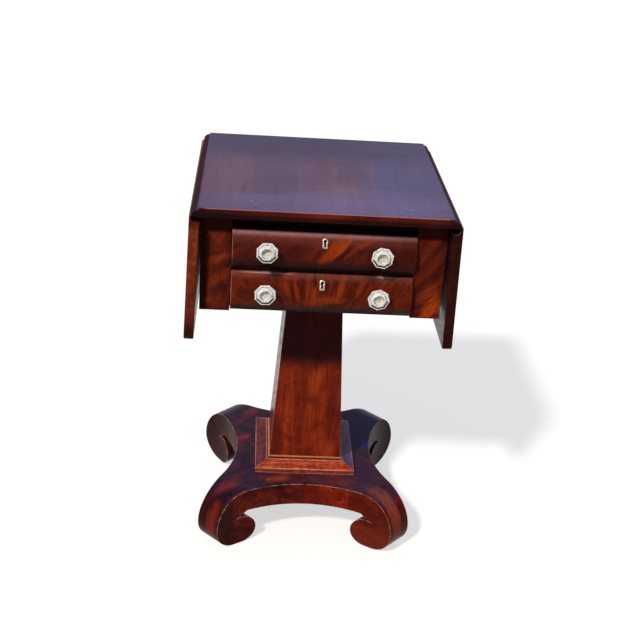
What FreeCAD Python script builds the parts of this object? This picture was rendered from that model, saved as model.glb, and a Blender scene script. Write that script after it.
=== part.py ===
import FreeCAD, Part
import math
import os
import Sketcher

# A two-drawer drop-leaf table on a square pillar with four scroll feet, in millimetres.
# The origin is on the floor, on the axis of the pillar. X runs to the right, Y to the back, Z up.

SIZES = {
    # Top board and leaves, with the rule joint between them
    "top_height": 733.0,
    "top_half_width": 222.0,
    "top_depth": 456.0,
    "top_thick": 18.0,
    "joint_step": 3.5,
    "joint_radius": 12.5,
    "joint_gap": 0.8,
    "leaf_lip_gap": 0.5,
    "leaf_reach": 237.0,
    "leaf_splay_deg": 1.5,
    "edge_round": 2.4,
    "leaf_corner_round": 7.0,
    # Case
    "case_set_in": 3.5,
    "top_overhang": 29.0,
    "case_height": 186.0,
    "side_thick": 20.0,
    "back_thick": 16.0,
    "stile_width": 54.5,
    "stile_thick": 22.0,
    "arris_round": 1.0,
    "rail_depth": 40.0,
    "rail_thick": 14.0,
    "runner_width": 48.5,
    # Drawers
    "front_height": 74.5,
    "front_gap": 5.5,
    "front_rise": 4.0,
    "front_lap": 4.0,
    "front_side_gap": 1.0,
    "front_proud": 1.0,
    "front_back_gap": 1.0,
    "front_bulge": 14.0,
    "drawer_side_gap": 1.5,
    "drawer_run_gap": 0.3,
    "drawer_top_gap": 4.0,
    "drawer_end_gap": 11.0,
    "drawer_side_thick": 11.0,
    "drawer_back_thick": 10.0,
    "drawer_bottom_thick": 6.0,
    "drawer_groove": 4.0,
    "drawer_bottom_rise": 4.0,
    # Knobs and their fittings
    "knob_across": 37.0,
    "knob_half_span": 101.0,
    "knob_above_middle": 6.0,
    "knob_length": 24.8,
    "knob_rim_thick": 4.0,
    "knob_bevel": 4.5,
    "knob_bevel_inset": 6.0,
    "knob_neck_radius": 9.0,
    "knob_seat_depth": 1.8,
    "knob_seat_radius": 9.4,
    "collar_radius": 9.0,
    "collar_thick": 3.5,
    "knob_bolt_radius": 2.0,
    "knob_bolt_grip": 12.0,
    "knob_nut_across": 9.0,
    "knob_nut_thick": 3.0,
    "knob_bolt_spare": 2.5,
    # Locks
    "lock_width": 34.0,
    "lock_height": 26.0,
    "lock_thick": 11.0,
    "lock_inlet": 6.0,
    "lock_top_gap": 1.0,
    "lock_bolt_width": 14.0,
    "lock_bolt_thick": 3.6,
    "lock_bolt_height": 15.0,
    "lock_bolt_gap": 0.3,
    "lock_bolt_travel": 6.0,
    "strike_spare": 1.5,
    "keyhole_above_middle": 24.5,
    "keyhole_radius": 2.6,
    "keyhole_slot": 3.0,
    "keyhole_drop": 10.0,
    "escutcheon_wall": 1.9,
    "escutcheon_depth": 6.0,
    "escutcheon_proud": 0.4,
    # Fly brackets
    "fly_length": 150.0,
    "fly_height": 60.0,
    "fly_let_in": 13.0,
    "fly_thick": 14.3,
    "fly_gap": 0.4,
    "fly_scoop": 26.0,
    "fly_pin_radius": 2.5,
    "fly_pin_gap": 0.05,
    "fly_pin_foot": 14.0,
    "fly_pin_head_gap": 0.5,
    # Leaf hinges
    "hinge_offset": 150.0,
    "hinge_length": 36.0,
    "hinge_plate_width": 36.0,
    "hinge_plate_thick": 2.0,
    "hinge_knuckle_radius": 3.0,
    "hinge_knuckle_gap": 0.4,
    "hinge_swing_gap": 0.5,
    "hinge_pin_radius": 1.5,
    "hinge_pin_gap": 0.05,
    "hinge_screw_radius": 1.4,
    "hinge_screw_head": 2.8,
    "hinge_screw_length": 11.0,
    "hinge_screw_pitch": 12.0,
    "hinge_screw_inset": 7.0,
    # Long screws
    "screw_radius": 2.2,
    "screw_head_radius": 4.5,
    "screw_head_thick": 3.0,
    "top_screw_bite": 12.0,
    "top_screw_grip": 20.0,
    "top_screw_end_in": 30.0,
    "rail_screw_in": 54.0,
    "case_screw_bite": 30.0,
    "case_screw_half_span": 20.0,
    "base_screw_bite": 16.0,
    "base_screw_half_span": 45.0,
    # Pillar
    "pillar_half_top": 52.3,
    "pillar_half_foot": 73.0,
    "pillar_board_thick": 16.0,
    "pillar_block_height": 60.0,
    "pillar_stub_height": 30.0,
    # Plinth
    "plinth_half": 76.0,
    "plinth_height": 25.0,
    "plinth_round": 2.5,
    "moulding_half": 101.5,
    "moulding_edge": 10.0,
    "moulding_height": 19.5,
    "moulding_flat": 2.0,
    "moulding_round": 0.8,
    # Platform with scroll feet
    "platform_height": 121.0,
    "platform_thick": 47.0,
    "platform_waist": 140.5,
    "platform_hollow_radius": 243.0,
    "foot_reach": 272.0,
    "foot_round_high": 73.0,
    "scroll_radius": 31.0,
    "scroll_inner_reach": 181.5,
    "slit_tip_share": 0.41,
    "slit_mouth_in": 12.5,
    # Overrun of the cutting tools
    "overrun": 5.0,
}


class Size:
    """A length together with the sheet expression that gives it."""

    def __init__(self, value, text):
        self.value = float(value)
        self.text = text

    def __add__(self, other):
        other = as_size(other)
        return Size(self.value + other.value, f"({self.text} + {other.text})")

    def __radd__(self, other):
        return as_size(other) + self

    def __sub__(self, other):
        other = as_size(other)
        return Size(self.value - other.value, f"({self.text} - {other.text})")

    def __rsub__(self, other):
        return as_size(other) - self

    def __mul__(self, other):
        other = as_size(other)
        return Size(self.value * other.value, f"({self.text} * {other.text})")

    __rmul__ = __mul__

    def __truediv__(self, other):
        other = as_size(other)
        return Size(self.value / other.value, f"({self.text} / {other.text})")

    def __neg__(self):
        return as_size(0) - self


def as_size(number):
    return number if isinstance(number, Size) else Size(number, f"{float(number)}")


def root(size):
    return Size(math.sqrt(size.value), f"sqrt({size.text})")


doc = FreeCAD.newDocument("drop_leaf_table")
sheet = doc.addObject("Spreadsheet::Sheet", "Dims")
for row, (alias, number) in enumerate(SIZES.items(), start=1):
    sheet.set(f"A{row}", str(number))
    sheet.setAlias(f"A{row}", alias)
doc.recompute()


class Sheet:
    """The sheet's cells by their aliases, as sizes."""


for alias in SIZES:
    setattr(Sheet, alias, Size(sheet.get(alias), f"Dims.{alias}"))
s = Sheet

NODES = []


# Helpers for objects, placement and booleans

def bind(obj, prop, size):
    obj.setExpression(prop, as_size(size).text)


def place(obj, x=0, y=0, z=0, rotation=None):
    """Put an object at a point; the rotation is about its own origin."""
    turn = rotation or FreeCAD.Rotation()
    point = [as_size(v) for v in (x, y, z)]
    obj.Placement = FreeCAD.Placement(FreeCAD.Vector(*(v.value for v in point)), turn)
    for axis, size in zip("xyz", point):
        bind(obj, f"Placement.Base.{axis}", size)
    return obj


def turned(axis, degrees):
    return FreeCAD.Rotation(FreeCAD.Vector(*axis), degrees)


def node(label, obj):
    """Name a finished piece, which is written to a file of that name."""
    obj.Label = label
    NODES.append(obj)
    return obj


def box(name, x, y, z):
    """A plain block between three pairs of coordinates."""
    obj = doc.addObject("Part::Box", name)
    for prop, (low, high) in zip(("Length", "Width", "Height"), (x, y, z)):
        bind(obj, prop, as_size(high) - low)
    return place(obj, x[0], y[0], z[0])


def rod(name, radius, length, point, axis="z"):
    """A round bar from a point along +X, +Y or +Z."""
    obj = doc.addObject("Part::Cylinder", name)
    bind(obj, "Radius", radius)
    bind(obj, "Height", length)
    turns = {"x": turned((0, 1, 0), 90), "y": turned((1, 0, 0), -90), "z": None}
    return place(obj, *point, rotation=turns[axis])


def fuse(name, pieces):
    obj = doc.addObject("Part::MultiFuse", name)
    obj.Shapes = pieces
    return obj


def cut(name, base, tools):
    obj = doc.addObject("Part::Cut", name)
    obj.Base = base
    obj.Tool = tools[0] if len(tools) == 1 else fuse(f"{name}_tools", tools)
    return obj


def common(name, first, second):
    obj = doc.addObject("Part::Common", name)
    obj.Base = first
    obj.Tool = second
    return obj


def group(name, pieces):
    obj = doc.addObject("Part::Compound", name)
    obj.Links = pieces
    return obj


# Helpers for bodies with sketches

def body_of(name):
    return doc.addObject("PartDesign::Body", name)


def sketch(body, plane, name, points, arcs=None, lift=0):
    """A closed outline through points; arcs maps a side's number to its centre and its turn."""
    obj = body.newObject("Sketcher::SketchObject", name)
    roles = {feature.Role: feature for feature in body.Origin.OriginFeatures}
    obj.AttachmentSupport = [(roles[plane], "")]
    obj.MapMode = "FlatFace"
    bind(obj, "AttachmentOffset.Base.z", lift)
    corners = [(as_size(x), as_size(y)) for x, y in points]
    ends = [add_side(obj, corners, side, (arcs or {}).get(side)) for side in range(len(corners))]
    for side, (start, end) in enumerate(ends):
        following = (side + 1) % len(ends)
        obj.addConstraint(Sketcher.Constraint("Coincident", side, end, following, ends[following][0]))
    for side, corner in enumerate(corners):
        for axis, size in zip("XY", corner):
            pin_down(obj, axis, side, ends[side][0], size)
    for side, (centre, _) in (arcs or {}).items():
        start, end = corners[side], corners[(side + 1) % len(corners)]
        flat = abs((end[0] - start[0]).value) > abs((end[1] - start[1]).value)
        axis, size = ("Y", centre[1]) if flat else ("X", centre[0])
        pin_down(obj, axis, side, 3, size)
    return obj


def add_side(obj, corners, side, arc):
    """Add a straight side or an arc. Give the sketch's own numbers for where it starts and ends.

    A sketch calls a side's ends 1 and 2 and an arc's centre 3, and every arc runs anticlockwise.
    """
    following = corners[(side + 1) % len(corners)]
    start, end = [FreeCAD.Vector(x.value, y.value, 0) for x, y in (corners[side], following)]
    if not arc:
        obj.addGeometry(Part.LineSegment(start, end))
        return 1, 2
    (x, y), anticlockwise = arc
    middle = FreeCAD.Vector(as_size(x).value, as_size(y).value, 0)
    first, last = (start, end) if anticlockwise else (end, start)
    angles = [math.atan2(point.y - middle.y, point.x - middle.x) for point in (first, last)]
    if angles[1] < angles[0]:
        angles[1] += math.tau
    circle = Part.Circle(middle, FreeCAD.Vector(0, 0, 1), (start - middle).Length)
    obj.addGeometry(Part.ArcOfCircle(circle, *angles))
    return (1, 2) if anticlockwise else (2, 1)


def pin_down(obj, axis, side, end, size):
    """Bind one coordinate of a point in a sketch to the sheet."""
    index = obj.addConstraint(Sketcher.Constraint(f"Distance{axis}", side, end, as_size(size).value))
    bind(obj, f"Constraints[{index}]", size)


def pad(body, name, outline, length):
    obj = body.newObject("PartDesign::Pad", name)
    obj.Profile = outline
    obj.SideType = "Symmetric"
    bind(obj, "Length", length)
    doc.recompute()
    return obj


def pocket(body, name, outline, length):
    before = body.Shape.Volume
    obj = body.newObject("PartDesign::Pocket", name)
    obj.Profile = outline
    obj.SideType = "Symmetric"
    bind(obj, "Length", length)
    doc.recompute()
    if not body.Shape.Volume < before:
        raise RuntimeError(f"{name} cuts nothing")
    return obj


def ease(body, name, base, radius, test):
    """Round the edges of a feature whose bounding box passes a test."""
    names = [f"Edge{n}" for n, edge in enumerate(base.Shape.Edges, start=1) if test(edge.BoundBox)]
    obj = body.newObject("PartDesign::Fillet", name)
    obj.Base = (base, names)
    bind(obj, "Radius", radius)
    doc.recompute()
    return obj


def block(name, x, y, z, radius=None, test=None):
    """A block as a body of its own, with chosen edges eased."""
    body = body_of(name)
    solid = body.newObject("PartDesign::AdditiveBox", f"{name}_block")
    for prop, (low, high) in zip(("Length", "Width", "Height"), (x, y, z)):
        bind(solid, prop, as_size(high) - low)
    doc.recompute()
    if radius:
        ease(body, f"{name}_arris", solid, radius, test)
    return place(body, x[0], y[0], z[0])


def tapered(name, low_points, high_points, height):
    """A body between an outline at the foot and a like one at a height."""
    body = body_of(name)
    low = sketch(body, "XY_Plane", f"{name}_low", low_points)
    high = sketch(body, "XY_Plane", f"{name}_high", high_points, lift=height)
    loft = body.newObject("PartDesign::AdditiveLoft", f"{name}_loft")
    loft.Profile = low
    loft.Sections = [high]
    loft.Ruled = True
    doc.recompute()
    return body


def square(half):
    return [(-half, -half), (half, -half), (half, half), (-half, half)]


def near(a, b):
    """Whether two coordinates are the same, within the tolerance of the shapes."""
    return round(a - as_size(b).value, 3) == 0


def both(low, high, side):
    """A pair of coordinates on the right side, or mirrored to the left one."""
    return (low, high) if side == "right" else (-as_size(high), -as_size(low))


def sign(side):
    return 1 if side == "right" else -1


# Places worked out from the driving sizes

case_top = s.top_height - s.top_thick
case_low = case_top - s.case_height
case_half_width = s.top_half_width - s.case_set_in
case_half_depth = s.top_depth / 2 - s.top_overhang
axis_height = s.top_height - s.joint_step - s.joint_radius
below_axis = s.top_thick - s.joint_step - s.joint_radius
side_inner = case_half_width - s.side_thick
opening_half = case_half_width - s.stile_width
case_front = -case_half_depth
rail_front = case_front + s.stile_thick
rail_back = rail_front + s.rail_depth
back_inner = case_half_depth - s.back_thick
lower_front_base = case_low + s.front_rise
upper_front_base = lower_front_base + s.front_height + s.front_gap
divider_middle = upper_front_base - s.front_gap / 2
divider_low = divider_middle - s.rail_thick / 2
divider_high = divider_middle + s.rail_thick / 2
bottom_high = case_low + s.rail_thick
top_rail_low = upper_front_base + s.front_height - s.front_lap
front_back = rail_front - s.front_back_gap
front_edge = case_front - s.front_proud
front_thick = front_back - front_edge
front_half = s.front_height / 2
cushion_radius = (front_half * front_half + s.front_bulge * s.front_bulge) / (s.front_bulge * 2)
cushion_centre = front_edge - s.front_bulge + cushion_radius
pillar_foot = s.platform_height + s.plinth_height
pillar_height = case_low - pillar_foot


# Rule joint hinges: plates in the top, plates in the leaves, pins and screws

def hinge_barrel(name, low, high, sizes_gap):
    """A length of knuckle about the Y axis, bored for the pin."""
    outer = rod(f"{name}_outer", s.hinge_knuckle_radius, high - low, (0, low, 0), "y")
    bore = rod(f"{name}_bore", s.hinge_pin_radius + sizes_gap, high - low, (0, low, 0), "y")
    return outer, bore


def hinge_plate(name, middle, moving):
    """A plate lying along +X under the axis, with one middle knuckle or two outer ones."""
    half = s.hinge_length / 2
    third = s.hinge_length / 6
    reach = s.hinge_knuckle_radius + s.hinge_swing_gap
    under = (-below_axis, s.hinge_plate_thick - below_axis)
    plate = box(f"{name}_flap", (reach, s.hinge_plate_width), (middle - half, middle + half), under)
    if moving:
        spans = [(middle - half, middle - third - s.hinge_knuckle_gap),
                 (middle + third + s.hinge_knuckle_gap, middle + half)]
    else:
        spans = [(middle - third, middle + third)]
    pieces = [plate]
    bores = []
    for number, (low, high) in enumerate(spans):
        pieces.append(box(f"{name}_neck{number}", (0, reach), (low, high), under))
        outer, bore = hinge_barrel(f"{name}_barrel{number}", low, high, s.hinge_pin_gap)
        pieces.append(outer)
        bores.append(bore)
    holes = [countersunk(f"{name}_hole{n}", x, y, -below_axis)
             for n, (x, y) in enumerate(screw_places(middle))]
    return cut(name, fuse(f"{name}_solid", pieces), bores + holes)


def screw_places(middle):
    """Three screws in each plate."""
    far = s.hinge_plate_width - s.hinge_screw_inset
    close = s.hinge_plate_width - s.hinge_screw_inset - s.hinge_screw_pitch
    return [(far, middle - s.hinge_screw_pitch), (far, middle + s.hinge_screw_pitch), (close, middle)]


def countersunk(name, x, y, z):
    """A hinge screw: a countersunk head flush with the plate and a shank above it."""
    head = doc.addObject("Part::Cone", f"{name}_head")
    bind(head, "Radius1", s.hinge_screw_head)
    bind(head, "Radius2", s.hinge_screw_radius)
    bind(head, "Height", s.hinge_plate_thick)
    place(head, x, y, z)
    shank = rod(f"{name}_shank", s.hinge_screw_radius, s.hinge_screw_length, (x, y, z))
    return fuse(name, [head, shank])


def hinge_middles():
    return [-s.hinge_offset, s.hinge_offset]


def knuckle_room(name, middle, reach_out):
    """The space that a hinge needs in the wood about its axis."""
    half = s.hinge_length / 2 + s.hinge_knuckle_gap
    radius = s.hinge_knuckle_radius + s.hinge_swing_gap
    room = rod(f"{name}_round", radius, half * 2, (0, middle - half, 0), "y")
    slot = box(f"{name}_slot", (-radius, reach_out), (middle - half, middle + half),
               (-below_axis - s.overrun, s.hinge_swing_gap))
    return [room, slot]


def shank_hole(name, x, y, z):
    return rod(name, s.hinge_screw_radius, s.hinge_screw_length, (x, y, z))


def leaf_frame(obj, side):
    """Stand something made about the hinge axis in the hanging leaf's place."""
    hang = turned((0, 1, 0), 90 - s.leaf_splay_deg.value)
    about = turned((0, 0, 1), 0 if side == "right" else 180)
    return place(obj, s.top_half_width * sign(side), 0, axis_height, rotation=about * hang)


def top_frame(obj, side):
    """Stand something made about the hinge axis under the edge of the top."""
    about = turned((0, 0, 1), 180 if side == "right" else 0)
    return place(obj, s.top_half_width * sign(side), 0, axis_height, rotation=about)


def make_hinges():
    fixed, pins, fixed_screws = [], [], []
    for side in ("left", "right"):
        plates, screws, leaf_plates, leaf_screws = [], [], [], []
        for number, middle in enumerate(hinge_middles()):
            name = f"{side}_hinge{number}"
            plates.append(hinge_plate(f"{name}_top", middle, False))
            leaf_plates.append(hinge_plate(f"{name}_leaf", middle, True))
            for n, (x, y) in enumerate(screw_places(middle)):
                screws.append(countersunk(f"{name}_screw{n}", x, y, -below_axis))
                leaf_screws.append(countersunk(f"{name}_leaf_screw{n}", x, y, -below_axis))
            start = (s.top_half_width * sign(side), middle - s.hinge_length / 2, axis_height)
            pins.append(rod(f"{name}_pin", s.hinge_pin_radius, s.hinge_length, start, "y"))
        fixed.append(top_frame(group(f"{side}_top_plates", plates), side))
        fixed_screws.append(top_frame(group(f"{side}_top_screws", screws), side))
        node(f"leaf_{side}_hinge_plates", leaf_frame(group(f"{side}_leaf_plates", leaf_plates), side))
        node(f"leaf_{side}_hinge_screws", leaf_frame(group(f"{side}_leaf_screws", leaf_screws), side))
    node("hinge_fixed_plates", group("fixed_plates", fixed))
    node("hinge_fixed_screws", group("fixed_screws", fixed_screws))
    node("hinge_pins", group("pins", pins))


# Top board and leaves

def make_top():
    body = body_of("top_blank")
    edge = s.top_half_width + s.joint_radius
    step = s.top_height - s.joint_step
    points = [(-edge, case_top), (edge, case_top), (edge, axis_height), (s.top_half_width, step),
              (s.top_half_width, s.top_height), (-s.top_half_width, s.top_height),
              (-s.top_half_width, step), (-edge, axis_height)]
    arcs = {2: ((s.top_half_width, axis_height), True), 6: ((-s.top_half_width, axis_height), True)}
    outline = sketch(body, "XZ_Plane", "top_outline", points, arcs)
    board = pad(body, "top_pad", outline, s.top_depth)
    ease(body, "top_nose", board, s.edge_round,
         lambda b: near(b.YLength, 0) and b.XLength > s.top_half_width.value)
    tools = []
    for side in ("left", "right"):
        for number, middle in enumerate(hinge_middles()):
            name = f"top_{side}{number}"
            half = s.hinge_length / 2
            room = knuckle_room(name, middle, s.hinge_knuckle_radius + s.hinge_swing_gap)
            inlet = box(f"{name}_inlet", (0, s.hinge_plate_width), (middle - half, middle + half),
                        (-below_axis - s.overrun, s.hinge_plate_thick - below_axis))
            sweep = box(f"{name}_sweep", (-s.joint_radius - s.overrun, 0),
                        (middle - half - s.hinge_knuckle_gap, middle + half + s.hinge_knuckle_gap),
                        (-below_axis - s.overrun, s.hinge_swing_gap))
            holes = [shank_hole(f"{name}_hole{n}", x, y, -below_axis)
                     for n, (x, y) in enumerate(screw_places(middle))]
            tools.append(top_frame(fuse(f"{name}_room", room + [inlet, sweep] + holes), side))
    for number, (x, y) in enumerate(top_screw_places()):
        tools.append(rod(f"top_hole{number}", s.screw_radius, s.top_screw_bite, (x, y, case_top)))
    node("top_board", cut("top_with_recesses", body, tools))


def make_leaf(side):
    body = body_of(f"leaf_{side}_blank")
    hollow = s.joint_radius + s.joint_gap
    under = root(hollow * hollow - below_axis * below_axis)
    lip = root(hollow * hollow - s.leaf_lip_gap * s.leaf_lip_gap)
    high = s.joint_step + s.joint_radius
    points = [(under, -below_axis), (s.leaf_reach, -below_axis), (s.leaf_reach, high),
              (s.leaf_lip_gap, high), (s.leaf_lip_gap, lip)]
    outline = sketch(body, "XZ_Plane", f"leaf_{side}_outline", points, {4: ((0, 0), False)})
    board = pad(body, f"leaf_{side}_pad", outline, s.top_depth)
    corners = ease(body, f"leaf_{side}_corners", board, s.leaf_corner_round,
                   lambda b: near(b.XMin, s.leaf_reach) and near(b.ZLength, s.top_thick))
    ease(body, f"leaf_{side}_nose", corners, s.edge_round,
         lambda b: near(b.ZLength, 0) and (near(b.XMax, s.leaf_reach) or near(b.YLength, 0)))
    tools = []
    for number, middle in enumerate(hinge_middles()):
        name = f"leaf_{side}{number}"
        half = s.hinge_length / 2
        tools.append(box(f"{name}_inlet", (0, s.hinge_plate_width), (middle - half, middle + half),
                         (-below_axis - s.overrun, s.hinge_plate_thick - below_axis)))
        for n, (x, y) in enumerate(screw_places(middle)):
            tools.append(shank_hole(f"{name}_hole{n}", x, y, -below_axis))
    node(f"leaf_{side}", leaf_frame(cut(f"leaf_{side}_board", body, tools), side))


# Case

def fly_places(side):
    """The notch of a fly bracket, in the outer face of its side panel."""
    x = both(case_half_width - s.fly_let_in, case_half_width, side)
    y = (-s.fly_length / 2, s.fly_length / 2)
    z = (case_top - s.fly_height - s.fly_gap, case_top - s.fly_gap)
    return x, y, z


def make_side(side):
    outer = both(side_inner, case_half_width, side)
    panel = box(f"{side}_panel", outer, (rail_front, case_half_depth), (case_low, case_top))
    _, y, z = fly_places(side)
    notch = box(f"{side}_notch", both(case_half_width - s.fly_let_in - s.fly_gap,
                                      case_half_width + s.overrun, side),
                (y[0] - s.fly_gap, y[1] + s.fly_gap), (z[0] - s.fly_gap, case_top + s.overrun))
    hole = rod(f"{side}_pin_hole", s.fly_pin_radius, s.fly_pin_foot,
               (*fly_pivot(side), z[0] - s.fly_gap - s.fly_pin_foot))
    node(f"side_panel_{side}", cut(f"{side}_panel_notched", panel, [notch, hole]))


def fly_pivot(side):
    """The pivot of a bracket, at the middle of its thickness near its back end."""
    x = (case_half_width - s.fly_let_in + s.fly_thick / 2) * sign(side)
    return x, s.fly_length / 2 - s.fly_thick / 2


def make_fly(side):
    """A swinging bracket with a round pivot end and a scooped underside at its free end."""
    half = s.fly_thick / 2
    back = s.fly_length / 2
    front = -back
    bar = box(f"fly_{side}_bar", (-half, half), (front, back - half), (0, s.fly_height))
    end = rod(f"fly_{side}_end", half, s.fly_height, (0, back - half, 0))
    scoop = rod(f"fly_{side}_scoop", s.fly_scoop, s.fly_thick * 2, (-s.fly_thick, front, 0), "x")
    bore = rod(f"fly_{side}_bore", s.fly_pin_radius + s.fly_pin_gap, s.fly_height + s.overrun * 2,
               (0, back - half, -s.overrun))
    piece = cut(f"fly_{side}_piece", fuse(f"fly_{side}_whole", [bar, end]), [scoop, bore])
    x, _, z = fly_places(side)
    place(piece, (case_half_width - s.fly_let_in + half) * sign(side), 0, z[0])
    node(f"fly_bracket_{side}", piece)
    x, y = fly_pivot(side)
    foot = z[0] - s.fly_gap - s.fly_pin_foot
    return rod(f"fly_{side}_pin", s.fly_pin_radius, z[1] - foot - s.fly_pin_head_gap, (x, y, foot))


def make_stile(side):
    x = both(opening_half, case_half_width, side)
    stile = block(f"stile_{side}", x, (case_front, rail_front), (case_low, case_top), s.arris_round,
                  lambda b: near(b.XLength, 0) and near(b.YMax, 0))
    node(f"front_stile_{side}", stile)


def strip_pair(name, inner, y, z):
    """Two like strips along the inside of the side panels."""
    return [box(f"{name}_{side}", both(inner, side_inner, side), y, z) for side in ("left", "right")]


def top_screw_places():
    """Two screws through each kicker and two through the top rail."""
    kicker_middle = side_inner - s.runner_width / 2
    ends = (rail_back + s.top_screw_end_in, back_inner - s.top_screw_end_in)
    places = [(kicker_middle * a, y) for a in (-1, 1) for y in ends]
    rail_middle = (rail_front + rail_back) / 2
    out = opening_half - s.rail_screw_in
    return places + [(-out, rail_middle), (out, rail_middle)]


def long_screw(name, x, y, head_end, length, up):
    """A screw whose head lies at one end: below the shank when it points up."""
    low = head_end if up else head_end - length
    head_low = head_end if up else head_end - s.screw_head_thick
    shank = rod(f"{name}_shank", s.screw_radius, length, (x, y, low))
    head = rod(f"{name}_head", s.screw_head_radius, s.screw_head_thick, (x, y, head_low))
    return fuse(name, [shank, head])


def top_screw_tools(prefix, places):
    """The hole and the deep counterbore of each screw that holds the top."""
    tools = []
    for number, (x, y) in enumerate(places):
        seat = case_top - s.top_screw_grip
        tools.append(rod(f"{prefix}_shank{number}", s.screw_radius, s.top_screw_grip + s.overrun,
                         (x, y, seat)))
        tools.append(rod(f"{prefix}_bore{number}", s.screw_head_radius, seat - top_rail_low + s.overrun,
                         (x, y, top_rail_low - s.overrun)))
    return tools


def make_case():
    across = (-side_inner, side_inner)
    inside = (rail_back, back_inner)
    places = top_screw_places()
    for side in ("left", "right"):
        make_side(side)
        make_stile(side)
    pins = [make_fly(side) for side in ("left", "right")]
    node("fly_bracket_pins", group("fly_pins", pins))
    node("back_panel", box("back", across, (back_inner, case_half_depth), (case_low, case_top)))
    rail = box("top_rail_bar", across, (rail_front, rail_back), (top_rail_low, case_top))
    strike = strike_tool("upper", top_rail_low)
    node("top_rail", cut("top_rail_bored", rail, top_screw_tools("rail", places[4:]) + [strike]))
    divider = box("divider_bar", across, (rail_front, rail_back), (divider_low, divider_high))
    node("drawer_divider", cut("divider_mortised", divider, [strike_tool("lower", divider_low)]))
    board = box("bottom_sheet", across, (rail_front, back_inner), (case_low, bottom_high))
    node("case_bottom", cut("bottom_bored", board, case_screw_tools()))
    runner_inner = side_inner - s.runner_width
    runners = strip_pair("runner", runner_inner, inside, (divider_low, divider_high))
    node("drawer_runners", group("runners", runners))
    kickers = strip_pair("kicker", runner_inner, inside, (top_rail_low, case_top))
    bored = [cut(f"kicker{n}_bored", kicker, top_screw_tools(f"kicker{n}", places[2 * n:2 * n + 2]))
             for n, kicker in enumerate(kickers)]
    node("top_kickers", group("kickers", bored))
    guides = strip_pair("guide_low", opening_half, inside, (bottom_high, divider_low))
    guides += strip_pair("guide_high", opening_half, inside, (divider_high, top_rail_low))
    node("drawer_guides", group("guides", guides))
    screws = [long_screw(f"top_screw{n}", x, y, case_top - s.top_screw_grip - s.screw_head_thick,
                         s.screw_head_thick + s.top_screw_grip + s.top_screw_bite, True)
              for n, (x, y) in enumerate(places)]
    node("top_screws", group("top_screw_set", screws))


# Locks

def lock_box(prefix, front_base):
    """The corners of a lock case, let into the back of its drawer front."""
    high = lock_top(front_base)
    x = (-s.lock_width / 2, s.lock_width / 2)
    y = (front_back - s.lock_inlet, front_back - s.lock_inlet + s.lock_thick)
    return x, y, (high - s.lock_height, high)


def lock_top(front_base):
    """Just under the rail above the drawer."""
    rail = top_rail_low if front_base is upper_front_base else divider_low
    return rail - s.lock_top_gap


def bolt_box(front_base):
    """The corners of a lock bolt drawn back into its case, behind the drawer front."""
    high = lock_top(front_base)
    x = (-s.lock_bolt_width / 2, s.lock_bolt_width / 2)
    front = front_back + s.lock_bolt_gap + s.lock_bolt_gap
    return x, (front, front + s.lock_bolt_thick), (high - s.lock_bolt_height, high)


def strike_tool(name, rail_low):
    """The mortise that the lock bolt enters, in the underside of a rail."""
    front_base = upper_front_base if name == "upper" else lower_front_base
    x, y, _ = bolt_box(front_base)
    spare = s.strike_spare
    return box(f"{name}_strike", (x[0] - spare, x[1] + spare), (rail_front - s.overrun, y[1] + spare),
               (rail_low - s.overrun, rail_low + s.lock_bolt_travel + spare))


def keyhole_solid(name, grow, front, back, middle):
    """A keyhole-shaped bar along Y: a round head over a straight slot."""
    head = rod(f"{name}_head", s.keyhole_radius + grow, back - front, (0, front, middle), "y")
    half = s.keyhole_slot / 2 + grow
    slot = box(f"{name}_slot", (-half, half), (front, back), (middle - s.keyhole_drop - grow, middle))
    return fuse(name, [head, slot])


def make_lock(prefix, front_base):
    x, y, z = lock_box(prefix, front_base)
    shell = box(f"{prefix}_lock_shell", x, y, z)
    bx, by, bz = bolt_box(front_base)
    gap = s.lock_bolt_gap
    channel = box(f"{prefix}_lock_channel", (bx[0] - gap, bx[1] + gap), (by[0] - gap, by[1] + gap),
                  (bz[0] - gap, bz[1] + s.overrun))
    middle = front_base + s.front_height / 2 + s.keyhole_above_middle
    keyhole = keyhole_solid(f"{prefix}_lock_keyhole", 0, y[0] - s.overrun, by[0], middle)
    node(f"{prefix}_lock_case", cut(f"{prefix}_lock", shell, [channel, keyhole]))
    node(f"{prefix}_lock_bolt", box(f"{prefix}_bolt", bx, by, bz))
    wall = s.escutcheon_wall
    crown = front_edge - s.front_bulge - s.overrun
    deep = cushion_surface(s.keyhole_above_middle) + s.escutcheon_depth
    outer = keyhole_solid(f"{prefix}_escutcheon_outer", wall, crown, deep, middle)
    inner = keyhole_solid(f"{prefix}_escutcheon_inner", 0, crown - s.overrun, deep + s.overrun, middle)
    ring = cut(f"{prefix}_escutcheon_ring", outer, [inner])
    skin = rod(f"{prefix}_escutcheon_skin", cushion_radius + s.escutcheon_proud, s.lock_width,
               (-s.lock_width / 2, cushion_centre, front_base + s.front_height / 2), "x")
    node(f"{prefix}_escutcheon", common(f"{prefix}_escutcheon_piece", ring, skin))


# Drawers

def cushion_surface(above_middle):
    """Where the cushion's surface lies, in Y, at a height above the middle of a front."""
    return cushion_centre - root(cushion_radius * cushion_radius - above_middle * above_middle)


def knob_seat():
    """The flat seat cut into the cushion for a knob's collar."""
    return cushion_surface(s.knob_above_middle) + s.knob_seat_depth


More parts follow.
